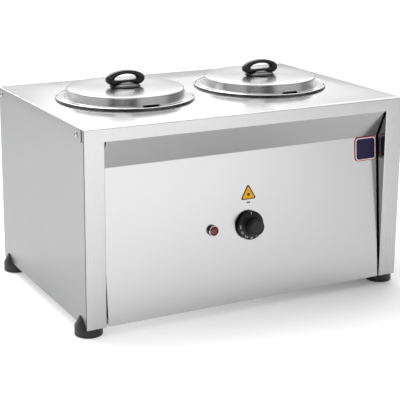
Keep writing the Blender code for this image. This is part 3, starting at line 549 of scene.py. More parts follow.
def make_top_cover():
    """The top plate with its pot holes and the flanges folded down at the sides and rear."""
    r = BEND_R
    x, back = COVER_HIGH.x - r, COVER_HIGH.y - r
    front, setback = FRONT_Y, FRONT_Y + FLANGE_SETBACK
    spot = middle_of("left_pot")
    side = COVER_HIGH.x - FLUSH
    edge = [(-side, front), (side, front), (side, setback), (x, setback), (x, back), (-x, back),
            (-x, setback), (-side, setback)]
    holes = []
    for sign in (-1, 1):
        hole = arc(-sign * spot.x, spot.y, COVER_HOLE_R, 0, 360 - 360 / ROUND, ROUND - 1)
        holes.append(hole[::-1])
    mesh = flat("top_cover_sheet", [edge] + holes, TOP_Z, TOP_Z)
    bm = bmesh.new()
    bm.from_mesh(mesh)
    for face in bm.faces:
        if face.normal.z < 0:
            face.normal_flip()
    for axis, sign, place in ((0, 1, x), (0, -1, -x), (1, 1, back)):
        fold_down(bm, axis, sign, place, r)
    bm.to_mesh(mesh)
    bm.free()
    cover = bevel(thicken(put("top_cover_sheet", mesh, TOP_STEEL)))
    # Upright faces of the same top sheet take the darker side tone: painted shade.
    shade_faces(cover, SHADED_SIDE_STEEL, lambda face: abs(face.normal.z) < STEEP)
    finish_piece(cover, "housing", "steel_sheet", "top_cover")


def fold_down(bm, axis, sign, place, radius):
    """Fold a flange down from the boundary edges on one side of the plate."""
    def on_line(vert):
        return abs(vert.co[axis] - place) < 1e-6
    edges = [e for e in bm.edges if e.is_boundary and all(on_line(v) for v in e.verts)
             and abs(e.verts[0].co[1 - axis] - e.verts[1].co[1 - axis]) > 0.05]

    def move(spot, out, down):
        spot[axis] = place + sign * out
        spot.z = TOP_Z - down
    rolled(bm, edges, 6, radius, TOP_Z - COVER_LOW.z, move)


def rolled(bm, edges, steps, radius, length, move):
    """Carry edges round a bend in steps and on to a flange; move places each new point."""
    for i in range(1, steps + 2):
        made = bmesh.ops.extrude_edge_only(bm, edges=edges)["geom"]
        verts = [g for g in made if isinstance(g, bmesh.types.BMVert)]
        edges = [g for g in made if isinstance(g, bmesh.types.BMEdge)
                 and all(v in verts for v in g.verts)]
        angle = math.pi / 2 * min(i, steps) / steps
        for vert in verts:
            move(vert.co, radius * math.sin(angle),
                 radius * (1 - math.cos(angle)) if i <= steps else length)


def make_front_frame():
    """Top bar and side bars of the front sheet, with a cheek bent in from each side bar."""
    r = BEND_R
    half = FRAME_HIGH.x
    inner = half - BAR_WIDTH + r
    sheet_top = FRAME_HIGH.z
    bm = bmesh.new()
    grid = {}
    for x in (-half, -inner, inner, half):
        for z in (BODY_Z, WINDOW_TOP, sheet_top):
            grid[x, z] = bm.verts.new((x, FRONT_Y, z))
    for x0, x1 in ((-half, -inner), (inner, half)):
        for z0, z1 in ((BODY_Z, WINDOW_TOP), (WINDOW_TOP, sheet_top)):
            bm.faces.new((grid[x0, z0], grid[x1, z0], grid[x1, z1], grid[x0, z1]))
    bm.faces.new((grid[-inner, WINDOW_TOP], grid[inner, WINDOW_TOP], grid[inner, sheet_top],
                  grid[-inner, sheet_top]))
    window = {grid[inner, BODY_Z].co.z, grid[inner, WINDOW_TOP].co.z}
    for sign in (-1, 1):
        edges = [e for e in bm.edges if {v.co.z for v in e.verts} == window
                 and all(abs(v.co.x - sign * inner) < 1e-6 for v in e.verts)]

        def move(spot, out, back, sign=sign):
            spot.x = sign * (inner - out)
            spot.y = FRONT_Y + back
        rolled(bm, edges, 7, r, CHEEK_DEPTH, move)
    for face in bm.faces:
        face.normal_update()
    mesh = bpy.data.meshes.new("front_frame_sheet")
    bm.to_mesh(mesh)
    bm.free()
    sheet = bevel(thicken(put("front_frame_sheet", mesh, SHADED_FRONT_STEEL)))
    # The cheeks bent in from the side bars take a much darker tone of the same steel: painted shade.
    shade_faces(sheet, SHADED_CHEEK_STEEL,
                lambda face: abs(face.normal.x) > 0.8 and abs(face.center.x) < inner - 0.0001)
    finish_piece(sheet, "housing", "steel_sheet", "front_frame")


def shade_faces(piece, material, chosen):
    """Give the faces that the test picks a second material; every use here is a darker or lighter tone of
    the same steel, painted shade or painted light.
    """
    piece.data.materials.append(material)
    for face in piece.data.polygons:
        if chosen(face):
            face.material_index = 1


def make_side_panels():
    """Plain sides, each with its lower edge folded in, and a dark strip in the front seam as painted
    shade.
    """
    for name, sign in (("left", -1), ("right", 1)):
        low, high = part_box(f"{name}_side_panel")
        face = sign * max(abs(low.x), abs(high.x))
        inside = sign * min(abs(low.x), abs(high.x))
        start = FRONT_Y + SHEET + SEAM_WIDTH
        profile = bent([(face, start, high.z), (face, start, low.z), (inside, start, low.z)], BEND_R)
        mesh = swept(profile, (0, high.y - start, 0), f"{name}_side_sheet")
        orient(mesh, Vector((sign, 0, -0.3)))
        panel = bevel(thicken(put(f"{name}_side_sheet", mesh, SHADED_SIDE_STEEL)))
        finish_piece(panel, "housing", "steel_sheet", f"{name}_side_panel")
        # A dark strip in the open seam, put there as painted shade.
        mesh = block((face - SEAM_HALF, FRONT_Y + SHEET + 0.0002, BODY_Z + 0.002),
                     (face + SEAM_HALF, start - 0.0002, FRAME_HIGH.z - 0.001), f"{name}_seam_shade_strip")
        finish_piece(put(f"{name}_seam_shade_strip", mesh, RUBBER), "housing", "seal_rubber")


def orient(mesh, outwards):
    """Flip a surface's faces so that most of its area faces outwards."""
    total = sum((p.normal * p.area for p in mesh.polygons), Vector())
    if total.dot(outwards) < 0:
        mesh.flip_normals()


def make_control_panel():
    """The leaning panel with one deep fold and a short facet over it."""
    half = PANEL_HIGH.x
    out = PANEL_OUT
    foot = Vector((-half, KNOB_SPOT.y, KNOB_SPOT.z))
    slope = Vector((0, out.z, -out.y))
    slope = slope / slope.z
    foot = foot - slope * (KNOB_SPOT.z - PANEL_LOW.z)
    fold_z = BODY_Z + FOLD_RISE
    fold = foot + slope * (fold_z - foot.z)
    top = Vector((-half, FRONT_Y + SHEET + GAP, PANEL_HIGH.z))
    profile = bent([top, fold, foot], 0.0022, 6)
    mesh = swept(profile, (2 * half, 0, 0), "control_panel_sheet")
    orient(mesh, out)
    panel = bevel(thicken(put("control_panel_sheet", mesh, SHADED_PANEL_STEEL)))
    # The facet above the fold is the same sheet, given a darker tone as painted shade.
    shade_faces(panel, SHADED_FACET_STEEL, lambda face: face.center.z > fold_z + 0.0008)
    finish_piece(panel, "housing", "steel_sheet", "control_panel")


def keep_nodes():
    """Frame parts whose shape is already right: better material, broken edges."""
    kept = (
        (SHADED_SIDE_STEEL, BROKEN, "back_panel"), (INNER_STEEL, BROKEN, "base_plate"),
        (TANK_STEEL, BROKEN, "water_tank"), (ELEMENT_STEEL, 0.0, "heating_element"),
        (INNER_STEEL, 0.0004, "heater_flange"), (RUBBER, BROKEN, "heater_gasket"),
        (BRASS, 0.0004, "heater_nut_left", "heater_nut_right"), (BRASS, BROKEN, "earth_nut"),
        (CREAM_PLASTIC, 0.0005, "terminal_block"), (CREAM_PLASTIC, 0.0008, "thermostat_body"),
        (CREAM_PLASTIC, 0.0, "lamp_body"), (ZINC, 0.0003, "lamp_nut"), (ZINC, BROKEN, "thermostat_shaft"),
        (ZINC, 0.0, "thermostat_bulb", "thermostat_screw_left", "thermostat_screw_right", "earth_stud",
         "left_handle_screw", "right_handle_screw"),
        (GLAND_BLACK, 0.0003, "cable_gland_locknut"), (WIRE_GREEN, 0.0, "wire_earth"),
        (WIRE_BLUE, 0.0, "wire_lamp", "wire_neutral"), (WIRE_BROWN, 0.0, "wire_live"),
    )
    for material, width, *names in kept:
        for name in names:
            keep_node(frame["nodes"][name], material, width)


def keep_node(node, material, width):
    """Give a frame part its finish and, where a width is given, broken edges."""
    node.data.materials.clear()
    node.data.materials.append(material)
    smooth(node.data)
    if width:
        bevel(node, width, 40.0)


# ---------------------------------------------------------------- pots and lids

def pot_profile():
    """Inside, lid ledge, rolled rim and outside of a pot, heights over the top plate."""
    inner, outer = POT_R - POT_WALL, POT_R
    corner = 0.018
    ledge = 0.1174
    bead = (RIM_R - ledge) / 2
    rim_top = POT_HIGH.z - TOP_Z
    inside = arc(inner - corner, POT_FLOOR + POT_WALL + corner, corner, 270, 360, 10)
    outside = arc(inner - corner, POT_FLOOR + POT_WALL + corner, corner + POT_WALL, 360, 270, 10)
    shelf = LID_REST - GAP
    rim = arc(inner - 0.0006, shelf - 0.0006, 0.0006, 0, 90, 3)
    rim = [(r + 2 * (inner - r) if r < inner else r, z) for r, z in rim]
    rim += [(ledge - 0.0003, shelf)]
    rim += arc((ledge + RIM_R) / 2, rim_top - bead, bead, 180, 0, 12)
    rim += [(RIM_R, GAP + 0.0003), (RIM_R - 0.0003, GAP), (outer, GAP)]
    return [(0.0, POT_FLOOR + POT_WALL)] + inside + rim + outside + [(0.0, POT_FLOOR)]


def lid_profile():
    """Closed outline of the flat-topped lid: crown, shoulder, wall, flange and underside."""
    t = LID_SHEET
    fillet = 0.0036
    crown = LID_TOP - 0.0006
    base = HAT_R + HAT_FLARE
    top = [(0.0025, LID_TOP), (0.030, LID_TOP - 0.00008), (0.070, LID_TOP - 0.0003),
           (HAT_R - fillet, crown)]
    top += arc(HAT_R - fillet, crown - fillet, fillet, 80, 8, 8)
    foot = arc(base + 0.0020, LID_REST + t + 0.0020, 0.0020, 188, 270, 6)
    edge = [(LID_R - 0.0003, LID_REST + t), (LID_R, LID_REST + t - 0.0003), (LID_R, LID_REST + 0.0003),
            (LID_R - 0.0003, LID_REST)]
    under = [(base + 0.0014, LID_REST), (base - 0.0002, LID_REST + 0.0006),
             (base - t, LID_REST + 0.0020), (HAT_R - t, crown - fillet)]
    under += [(HAT_R - fillet + (fillet - t) * math.cos(a), crown - fillet + (fillet - t) * math.sin(a))
              for a in (math.radians(20 * i) for i in range(1, 5))]
    under += [(0.070, LID_TOP - 0.0003 - t), (0.030, LID_TOP - 0.00008 - t), (0.0025, LID_TOP - t)]
    return top + foot + edge + under


def notch_tool(at):
    """The block, rounded at its corners, that cuts the ladle notch out of a lid."""
    outer, inner = LID_R + 0.004, NOTCH_REACH
    outline = rounded_rectangle(NOTCH_WIDTH / 2, (outer - inner) / 2, 0.0025)
    outline = [(x, y - (outer + inner) / 2) for x, y in outline]
    tool = flat("notch_tool", [outline], LID_REST - 0.003, LID_REST + NOTCH_RISE)
    return put("notch_tool", tool, SHADED_LID_STEEL, at)


def make_pot_and_lid(side):
    """A pot with its lid, the lid's steel dish and black ring handle."""
    middle = middle_of(f"{side}_pot")
    at = Matrix.Translation((middle.x, middle.y, TOP_Z))
    pot = turned(f"{side}_pot_spun", pot_profile(), ROUND, POT_STEEL, at, f"{side}_pot_body",
                 "pot_steel", f"{side}_pot", ring=False)
    # The outer side of the pot's rim takes a near-black tone of the same steel: painted shade and painted
    # reflection.
    shade_faces(pot, SHADED_RIM_STEEL, lambda face: face.center.z > 0 and face.normal.z < 0.55
                and math.hypot(face.center.x, face.center.y) > POT_R + 0.0015)
    shape = lathe(lid_profile(), f"{side}_lid_spun", ring=True)
    lid = cut(put(f"{side}_lid_spun", shape, SHADED_LID_STEEL, at), notch_tool(at))
    # Upright faces of the lid take the lighter wall tone: painted light.
    shade_faces(lid, LIT_LID_WALL_STEEL, lambda face: abs(face.normal.z) < STEEP)
    finish_piece(lid, f"{side}_lid_body", "pot_steel", f"{side}_lid")
    make_lid_handle(side, Matrix.Translation((middle.x, middle.y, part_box(f"{side}_handle_dish")[0].z)))


def dome_height(x):
    """Height of the dish over the lid at a distance from its middle."""
    share = min(abs(x) / DISH_R, 1.0)
    return DISH_HEIGHT * math.sin(math.acos(share)) ** 0.8


def ring_stations():
    """Inner and outer points of the ring handle all the way round, and its half thickness there."""
    wide, top, mid = RING_HALF, RING_TOP, 0.0125
    hole_wide, hole_top, hole_low = 0.0212, 0.0210, 0.0122
    foot, turn = 0.0205, 0.62
    half = RING_THICK / 2
    stations = []
    for i in range(120):
        a = math.radians(3 * i)
        c, s = math.cos(a), math.sin(a)
        if s >= 0:
            outer = (wide * c, mid + (top - mid) * s)
            inner = (hole_wide * c, hole_low + (hole_top - hole_low) * s)
            stations.append((outer, inner, half))
            continue
        drop = math.acos(max(-1.0, min(1.0, abs(c)))) / (math.pi / 2)
        leg = min(drop / turn, 1.0)
        low_x = bezier(wide, wide, 0.0285, foot, leg) if drop < turn else foot * (1 - drop) / (1 - turn)
        low_z = bezier(mid, 0.0068, 0.0022, 0.0014, leg)
        outer = (math.copysign(low_x, c), low_z)
        inner = (hole_wide * c, hole_low - 0.0014 * abs(s) ** 0.8)
        stations.append((outer, inner, half * (1 + 0.35 * math.sin(math.pi * min(drop / 0.8, 1.0)))))
    return stations


def bezier(a, b, c, d, t):
    """A cubic between four values."""
    u = 1 - t
    return a * u ** 3 + 3 * b * u * u * t + 3 * c * u * t * t + d * t ** 3


def ring_mesh(name):
    """The ring handle: a rounded section carried round the loop, its legs lying on the dish."""
    bm = bmesh.new()
    loops = []
    section = [(math.cos(a), math.sin(a)) for a in (2 * math.pi * i / 24 for i in range(24))]
    for outer, inner, half in ring_stations():
        outer, inner = Vector(outer), Vector(inner)
        centre, span = (outer + inner) / 2, (outer - inner) / 2
        loop = []
        for c, s in section:
            across = math.copysign(abs(c) ** 0.5, c)
            deep = math.copysign(abs(s) ** 0.5, s)
            spot = centre + span * across
            y = deep * half
            seat = dome_height(math.hypot(spot.x, y)) + 0.0004
            loop.append(bm.verts.new((spot.x, y, max(spot.y, seat))))
        loops.append(loop)
    for k, loop in enumerate(loops):
        beside = loops[(k + 1) % len(loops)]
        for i in range(len(section)):
            j = (i + 1) % len(section)
            bm.faces.new((loop[i], beside[i], beside[j], loop[j]))
    return to_mesh(bm, name)


def make_lid_handle(side, at):
    """Steel dish with a thin black lip round its foot, and the ring over it."""
    shell = 0.0008
    radii = [DISH_R * math.cos(math.radians(86 - 86 * i / 14)) for i in range(15)]
    dome = [(r, dome_height(r)) for r in radii]
    inside = [(max(r - shell * 1.6, 0.002), max(z - shell, 0.0)) for r, z in reversed(dome[:-1])]
    outline = dome + [(DISH_R - 0.0013, 0.0)] + inside
    body = f"{side}_lid_body"
    turned(f"{side}_dish_spun", outline, 96, SHADED_DISH_STEEL, at, body, "dish_steel", f"{side}_handle_dish")
    # A thin black lip round the dish's foot, dark where the dish meets the lid.
    lip = [(DISH_R + 0.0011, 0.0002), (DISH_R + 0.0012, 0.0010), (DISH_R + 0.0007, 0.0015),
           (DISH_R - 0.0001, 0.0014), (DISH_R + 0.00005, 0.0002)]
    turned(f"{side}_dish_black_lip", lip, 96, TRIM_BLACK, at, body, "bakelite")
    ring = put(f"{side}_ring_handle", ring_mesh(f"{side}_ring_handle"), BAKELITE, at)
    finish_piece(ring, body, "bakelite", f"{side}_lid_handle")


# ---------------------------------------------------------------- on the control panel

def knob_mesh():
    """Skirt and fluted grip in one moulding."""
    flutes = 30
    well = 0.0198
    profile = [(0.0, KNOB_FRONT - 0.0006), (0.0104, KNOB_FRONT - 0.0006), (0.0112, KNOB_FRONT),
               (GRIP_R - 0.0014, KNOB_FRONT), (GRIP_R - 0.0005, KNOB_FRONT - 0.0005),
               (GRIP_R, KNOB_FRONT - 0.0016), (GRIP_R + 0.0002, 0.020), (GRIP_R + 0.0004, 0.012),
               (GRIP_R + 0.0006, SHOULDER + 0.0012), (GRIP_R + 0.0018, SHOULDER + 0.0002),
               (GRIP_R + 0.003, SHOULDER), (SKIRT_R - 0.0015, SHOULDER - 0.0004),
               (SKIRT_R - 0.0004, SHOULDER - 0.0009), (SKIRT_R, SHOULDER - 0.0017), (SKIRT_R, 0.0046),
               (SKIRT_R - 0.0006, KNOB_BACK), (0.0034, KNOB_BACK), (0.0034, well), (0.0, well)]

    def fluted(radius, angle, height):
        if GRIP_R - 0.001 < radius < GRIP_R + 0.0012 and height > SHOULDER + 0.001:
            return radius - 0.00055 * (0.5 + 0.5 * math.cos(flutes * angle)) ** 0.6
        return radius
    return lathe(profile, "knob_moulding", flutes * 8, limit=fluted)


def digit(name, text, size, at):
    """A number printed on the dial."""
    curve = bpy.data.curves.new(name, "FONT")
    curve.body = text
    curve.size = size
    curve.align_x = "CENTER"
    curve.align_y = "CENTER"
    curve.extrude = PRINT / 2
    curve.resolution_u = 3
    return put(name, curve_mesh(curve, name), PRINT_WHITE, at)


def make_knob():
    """The thermostat knob with its mark and dial numbers."""
    knob = put("knob_moulding", knob_mesh(), KNOB_BLACK, PANEL)
    finish_piece(knob, "control_knob", "bakelite", "knob")
    face = SHOULDER - 0.0002
    spot = PANEL @ Matrix.Translation((0, 0.0198, face - 0.00005))
    plate("knob_mark", rounded_rectangle(0.00045, 0.0036, 0.0004, 4), 0.0, PRINT, PRINT_WHITE, spot,
          "control_knob", "bakelite")
    for i, text in enumerate(("30", "45", "60", "75", "90", "110")):
        turn = math.radians(90 + 30 * i)
        ring = Matrix.Rotation(turn, 4, "Z") @ Matrix.Translation((0, 0.0196, face - 0.00002))
        number = digit(f"dial_number_{text}", text, 0.0064, PANEL @ ring)
        finish_piece(number, "control_knob", "bakelite")


def make_lamp():
    """Black bezel with a bright front ring, and the domed red lens."""
    at = PANEL @ Matrix.Translation((middle_of("lamp_bezel").x, 0, 0))
    r, reach, hole = LAMP_R, LAMP_REACH, LAMP_HOLE
    wall = [(r - 0.0005, reach - 0.0018), (r, reach - 0.0021), (r, 0.0022), (r - 0.0002, 0.0020),
            (r - 0.0002, 0.0016), (r, 0.0014), (r, GAP), (hole, GAP), (hole, reach - 0.0018)]
    turned("lamp_bezel_wall", wall, 96, TRIM_BLACK, at, "housing", "zinc_hardware", "lamp_bezel")
    front = [(hole, reach - 0.0017), (hole + 0.0001, reach - 0.0006), (hole + 0.0004, reach),
             (r - 0.0006, reach), (r - 0.0002, reach - 0.0006), (r, reach - 0.0012),
             (r - 0.0002, reach - 0.0017)]
    turned("lamp_bezel_ring", front, 96, CHROME, at, "housing", "zinc_hardware")
    dome = [(0.0, reach - 0.0004)] + [(LENS_R * math.sin(a), reach - 0.0024 + 0.0020 * math.cos(a))
                                      for a in (math.radians(12 * i) for i in range(1, 8))]
    dome += [(LENS_R, 0.0012), (0.0, 0.0012)]
    turned("lamp_lens_dome", dome, 72, LENS_RED, at, "housing", "lens_red", "lamp_lens", ring=False)


def make_signs():
    """Plain amber sticker, index mark and the plain blue badge with its raised border."""
    base = PANEL @ Matrix.Translation((0, STICKER_UP, 0))
    plate("sticker_border", rounded_triangle(0.0135, 0.0025), 0.0001, GAP, STICKER_DARK, base,
          "housing", "sticker_amber", "caution_sticker")
    inner = [(x, y + 0.0016) for x, y in rounded_triangle(0.0108, 0.0018)]
    plate("sticker_field", inner, GAP, GAP + PRINT, STICKER_AMBER, base, "housing", "sticker_amber")
    plate("sticker_spot", arc(0, 0.0085, 0.0026, 0, 345, 23), GAP + 0.0001, GAP + 0.0002,
          STICKER_DARK, base, "housing", "sticker_amber")
    at = PANEL @ Matrix.Translation((0, INDEX_UP, 0.00005))
    plate("index_mark", rounded_rectangle(0.0032, 0.0011, 0.0003, 3), 0.0, PRINT, PRINT_RED, at,
          "housing", "sticker_amber")
    make_badge()


def make_badge():
    """Blue field inside a light line and a red edge, all slightly raised."""
    low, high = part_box("badge_plate")
    half_x = (high.x - low.x) / 2
    half_y = 0.021
    corner = 0.007
    at = PANEL @ Matrix.Translation((middle_of("badge_plate").x, BADGE_UP, GAP))
    layers = (("badge_edge", 0.0, 0.0008, BADGE_RED), ("badge_line", 0.0013, 0.0010, BADGE_WHITE),
              ("badge_field", 0.0029, 0.0012, BADGE_BLUE))
    for name, inset, top, material in layers:
        outline = rounded_rectangle(half_x - inset, half_y - inset, corner - inset * 0.7)
        nodes = ["badge_plate"] if name == "badge_field" else []
        bevel(plate(name, outline, 0.0, top, material, at, "housing", "badge_blue", *nodes))


# ---------------------------------------------------------------- feet, screws, inlet

def make_foot(name, sign):
    """A turned foot under the corner whose ear stands outside the side panel."""
    low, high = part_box(name)
    radius = (high.y - low.y) / 2
    x = sign * (max(abs(low.x), abs(high.x)) - radius)
    y = (low.y + high.y) / 2
    chamfer = 0.0016
    top = 0.0012
    profile = [(0.0, high.z)] + arc(0.0130 - top, high.z - top, top, 90, 30, 4)
    profile += [(radius, BODY_Z - 0.001), (radius, chamfer + 0.0042), (radius - 0.0004, chamfer + 0.0038),
                (radius - 0.0004, chamfer + 0.0030), (radius, chamfer + 0.0026), (radius, chamfer)]
    profile += arc(radius - chamfer, chamfer, chamfer, 0, -90, 5) + [(0.0, 0.0)]
    foot = put(f"{name}_turned", lathe(profile, f"{name}_turned", 96), FOOT_BLACK,
               Matrix.Translation((x, y, 0)))
    face = sign * (SIDE_X + GAP)
    inner = x - sign * 0.05
    seat = put("seat", block((min(face, inner), y - 0.05, BODY_Z - GAP),
                             (max(face, inner), y + 0.05, BODY_Z + 0.05)), FOOT_BLACK)
    hole, deep = 0.0065, 0.011
    bore = put("bore", lathe([(0.0, deep), (hole, deep), (hole, -0.002), (0.0, -0.002)], "bore", 48),
               FOOT_BLACK, Matrix.Translation((x, y, 0)))
    cut(foot, seat, bore)
    finish_piece(foot, "housing", "foot_plastic", name)
    head = Matrix.Translation((x, y, 0.0107)) @ Matrix.Rotation(math.pi, 4, "X")
    screw_head(f"{name}_screw_head", *FOOT_SCREW, head, f"{name}_screw")


def screw_head(name, radius, height, at, node):
    """A pan head with a cross recess; its Z points out of the surface."""
    dome = [(0.0, height)] + [(radius * math.sin(a), height * 0.35 + height * 0.65 * math.cos(a))
                              for a in (math.radians(15 * i) for i in range(1, 7))]
    head = put(name, lathe(dome + [(radius, 0.0), (0.0, 0.0)], name, 48), ZINC, at)
    arm, deep, half = radius * 0.62, height * 0.45, radius * 0.13
    tools = [put("cross", block((-arm, -half, deep), (arm, half, height * 2)), ZINC, at),
             put("cross", block((-half, -arm, deep), (half, arm, height * 2)), ZINC, at)]
    cut(head, *tools)
    finish_piece(head, "housing", "zinc_hardware", node)


def make_cover_screws():
    """The screws that hold the top cover's flanges."""
    for side, sign in (("left", -1), ("right", 1)):
        for end in ("front", "rear"):
            name = f"cover_screw_{side}_{end}"
            spot = middle_of(name)
            spot.x = sign * COVER_HIGH.x
            at = Matrix.Translation(spot) @ Matrix.Rotation(sign * math.pi / 2, 4, "Y")
            screw_head(f"{name}_head", *COVER_SCREW, at, name)
        name = f"rear_screw_{side}"
        spot = middle_of(name)
        spot.y = COVER_HIGH.y
        at = Matrix.Translation(spot) @ Matrix.Rotation(-math.pi / 2, 4, "X")
        screw_head(f"{name}_head", *COVER_SCREW, at, name)


def make_gland():
    """The cable gland on the back: collar, ribbed dome nut and rubber seal."""
    low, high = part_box("cable_gland_body")
    radius = (high.x - low.x) / 2
    spot = Vector(((low.x + high.x) / 2, BACK_Y, (low.z + high.z) / 2))
    at = Matrix.Translation(spot) @ Matrix.Rotation(-math.pi / 2, 4, "X")
    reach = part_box("cable_gland_nut")[1].y - BACK_Y
    collar, thread = 0.004, 0.0078
    body = [(0.0075, 0.0105), (0.0075, collar), (radius - 0.0005, collar), (radius, collar - 0.0005),
            (radius, GAP), (thread, GAP), (thread, -0.009), (0.0040, -0.009), (0.0040, 0.0105)]

    def hexagon(r, angle, height):
        if r > radius - 0.0006 and 0.0 < height < collar + 0.0001:
            share = (angle % (math.pi / 3)) - math.pi / 6
            return min(r, radius * math.cos(math.pi / 6) / math.cos(share) * 1.02)
        return r
    turned("gland_body_hex", body, 96, GLAND_BLACK, at, "housing", "gland_plastic",
           "cable_gland_body", limit=hexagon)
    nut = [(0.0060, reach), (thread, reach - 0.0008), (0.0095, reach - 0.003), (radius, reach - 0.006),
           (radius, collar + GAP), (thread, collar + GAP), (thread, 0.0150), (0.0045, 0.0155),
           (0.0045, reach)]

    def ribbed(r, angle, height):
        if r > 0.0094 and height < reach - 0.0025:
            return r - 0.0004 * (0.5 + 0.5 * math.cos(18 * angle))
        return r
    turned("gland_nut_ribbed", nut, 144, GLAND_BLACK, at, "housing", "gland_plastic",
           "cable_gland_nut", limit=ribbed)
    seal = [(0.0072, 0.0145), (0.0072, 0.0108), (0.0036, 0.0108), (0.0030, 0.0126), (0.0036, 0.0145)]
    turned("gland_seal_ring", seal, 64, RUBBER, at, "housing", "seal_rubber", "cable_gland_seal")


# ---------------------------------------------------------------- floor, light and camera

FLOOR_SIZE = 60.0
CAMERA_TURN = math.radians(-28.2556)
CAMERA_RISE = math.radians(14.2481)
CAMERA_ROLL = math.radians(0.5023)
CAMERA_SPOT = Vector((-0.94754, -1.77498, 0.72709))


def make_floor():
    """A pale floor that the object stands on. It glows as painted light, dimmer near the object and
    towards the right and back, which leaves painted shade there.
    """
    n = Nodes("pale_floor")
    cloud = n.noise(n.stretched((1, 1, 1)), 3.0, 2.0)
    n.feed(n.shader.inputs["Base Color"], n.blend(cloud, (0.90, 0.90, 0.90), (0.92, 0.92, 0.92)))
    n.set(Roughness=0.9, Specular_IOR_Level=0.1, Emission_Color=(1.0, 1.0, 1.0, 1.0))
    # Painted light: the floor glows more with distance from the object and towards the left front.
    away = n.vector("LENGTH", n.stretched((1, 1, 1))).outputs["Value"]
    glow = n.between(away, 0.56, 0.98, 0.75, 1.6)
    across = n.node("ShaderNodeSeparateXYZ", Vector=n.stretched((1, 1, 1)))
    slant = n.math("ADD", across.outputs["X"], n.math("MULTIPLY", across.outputs["Y"], 0.7))
    side = n.between(slant, 1.0, 0.12, -0.55, 0.22)
    n.feed(n.shader.inputs["Emission Strength"], n.math("MULTIPLY", glow, side))
    half = FLOOR_SIZE / 2
    bm = bmesh.new()
    bm.faces.new([bm.verts.new(spot) for spot in
                  ((-half, -half, 0), (half, -half, 0), (half, half, 0), (-half, half, 0))])
    floor = put("floor", to_mesh(bm, "floor"), n.material)


def make_camera():
    """The camera, a little left of the front and a little above."""
    back = Vector((math.sin(CAMERA_TURN) * math.cos(CAMERA_RISE),
                   -math.cos(CAMERA_TURN) * math.cos(CAMERA_RISE), math.sin(CAMERA_RISE)))
    right = (-back).cross(Vector((0, 0, 1))).normalized()
    up = right.cross(-back)
    c, s = math.cos(CAMERA_ROLL), math.sin(CAMERA_ROLL)
    across, above = right * c + up * s, up * c - right * s
    data = bpy.data.cameras.new("camera")
    data.sensor_width = 36.0
    data.lens = 103.788
    data.shift_y = -0.1
    data.clip_start, data.clip_end = 0.05, 100.0
    camera = bpy.data.objects.new("camera", data)
    bpy.context.scene.collection.objects.link(camera)
    turn = Matrix((across, above, back)).transposed().to_4x4()
    camera.matrix_world = Matrix.Translation(CAMERA_SPOT) @ turn
    bpy.context.scene.camera = camera


class Sky(Tree):
    """The studio's surroundings."""

    def __init__(self):
        world = bpy.data.worlds.new("studio")
        bpy.context.scene.world = world
        super().__init__(world)
        self.tree.nodes.clear()

    def ramp(self, value, low, high, start, stop):
        """Smooth step from start to stop while value goes from low to high."""
        made = self.node("ShaderNodeMapRange", Value=value, From_Min=low, From_Max=high,
                         To_Min=start, To_Max=stop)
        made.interpolation_type = "SMOOTHSTEP"
        return made.outputs[0]

    def heading(self):
        """Direction on the level, and its height."""
        coords = self.node("ShaderNodeTexCoord").outputs["Generated"]
        x, y, z = self.node("ShaderNodeSeparateXYZ", Vector=coords).outputs[:3]
        level = self.node("ShaderNodeCombineXYZ", X=x, Y=y).outputs[0]
        return self.vector("NORMALIZE", level).outputs[0], z

    def facing(self, heading, degrees):
        """Cosine between a level direction and one at so many degrees right of the camera."""
        angle = CAMERA_TURN + math.radians(degrees)
        made = self.vector("DOT_PRODUCT", heading)
        made.inputs[1].default_value = (math.sin(angle), -math.cos(angle), 0.0)
        return made.outputs["Value"]

    def patch(self, heading, degrees, outer, inner):
        """1 within inner degrees of a direction, falling to 0 at outer degrees."""
        return self.ramp(self.facing(heading, degrees), math.cos(math.radians(outer)),
                         math.cos(math.radians(inner)), 0, 1)


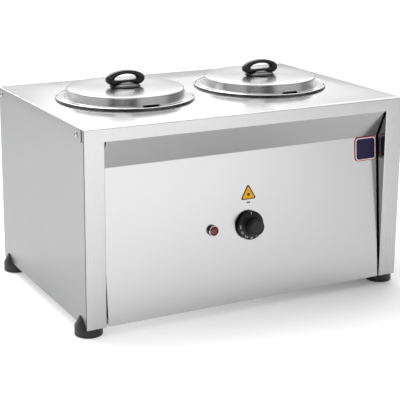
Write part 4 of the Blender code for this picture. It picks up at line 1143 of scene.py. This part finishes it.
def make_world():
    """A white studio: bright overhead and behind, a dark side where the camera stands."""
    sky = Sky()
    heading, height = sky.heading()
    toward = sky.patch(heading, 0, 34, 20)
    right = sky.patch(heading, 122, 38, 24)
    low = sky.ramp(height, 0.45, 0.75, 1, 0)
    dark = sky.math("MULTIPLY", sky.math("MAXIMUM", toward, sky.math("MULTIPLY", right, 0.65)), low)
    glow = sky.ramp(height, 0.180, 0.235, 0.06, 1.80)
    behind = sky.math("MULTIPLY", sky.ramp(sky.facing(heading, 180), 0.3, 0.9, 0, 1), glow)
    light = sky.math("ADD", behind, sky.ramp(height, 0.3, 0.9, 0.50, 0.66))
    light = sky.math("MULTIPLY", light, sky.math("SUBTRACT", 1.0, sky.math("MULTIPLY", dark, 0.95)))
    seen = sky.node("ShaderNodeLightPath").outputs["Is Camera Ray"]
    strength = sky.math("ADD", sky.math("MULTIPLY", light, sky.math("SUBTRACT", 1.0, seen)), seen)
    back = sky.node("ShaderNodeBackground", Color=(1.0, 1.0, 1.0, 1.0), Strength=strength)
    sky.node("ShaderNodeOutputWorld", Surface=back.outputs[0])


def make_light(name, spot, target, size, power):
    """A soft square light aimed at a point."""
    data = bpy.data.lights.new(name, "AREA")
    data.size = size
    data.energy = power
    made = bpy.data.objects.new(name, data)
    bpy.context.scene.collection.objects.link(made)
    spot, target = Vector(spot), Vector(target)
    turn = (spot - target).to_track_quat("Z", "Y").to_matrix().to_4x4()
    made.matrix_world = Matrix.Translation(spot) @ turn


def make_lights():
    """Overhead softbox and a gentle one on the floor at the left front."""
    make_light("overhead", (-0.6, 1.0, 2.3), (0, 0, 0.2), 1.6, 26.0)
    make_light("front_floor", (-1.0, -1.5, 1.4), (-0.6, -0.9, 0.0), 1.0, 3.0)


def build():
    """Dress the frame and set up the studio."""
    bpy.context.scene.view_settings.view_transform = "Standard"
    make_camera()
    make_top_cover()
    make_front_frame()
    make_side_panels()
    make_control_panel()
    keep_nodes()
    for side in ("left", "right"):
        make_pot_and_lid(side)
    make_knob()
    make_lamp()
    make_signs()
    for side, sign in (("left", -1), ("right", 1)):
        for end in ("front", "rear"):
            make_foot(f"{end}_{side}_foot", sign)
    make_cover_screws()
    make_gland()
    make_floor()
    make_world()
    make_lights()


build()
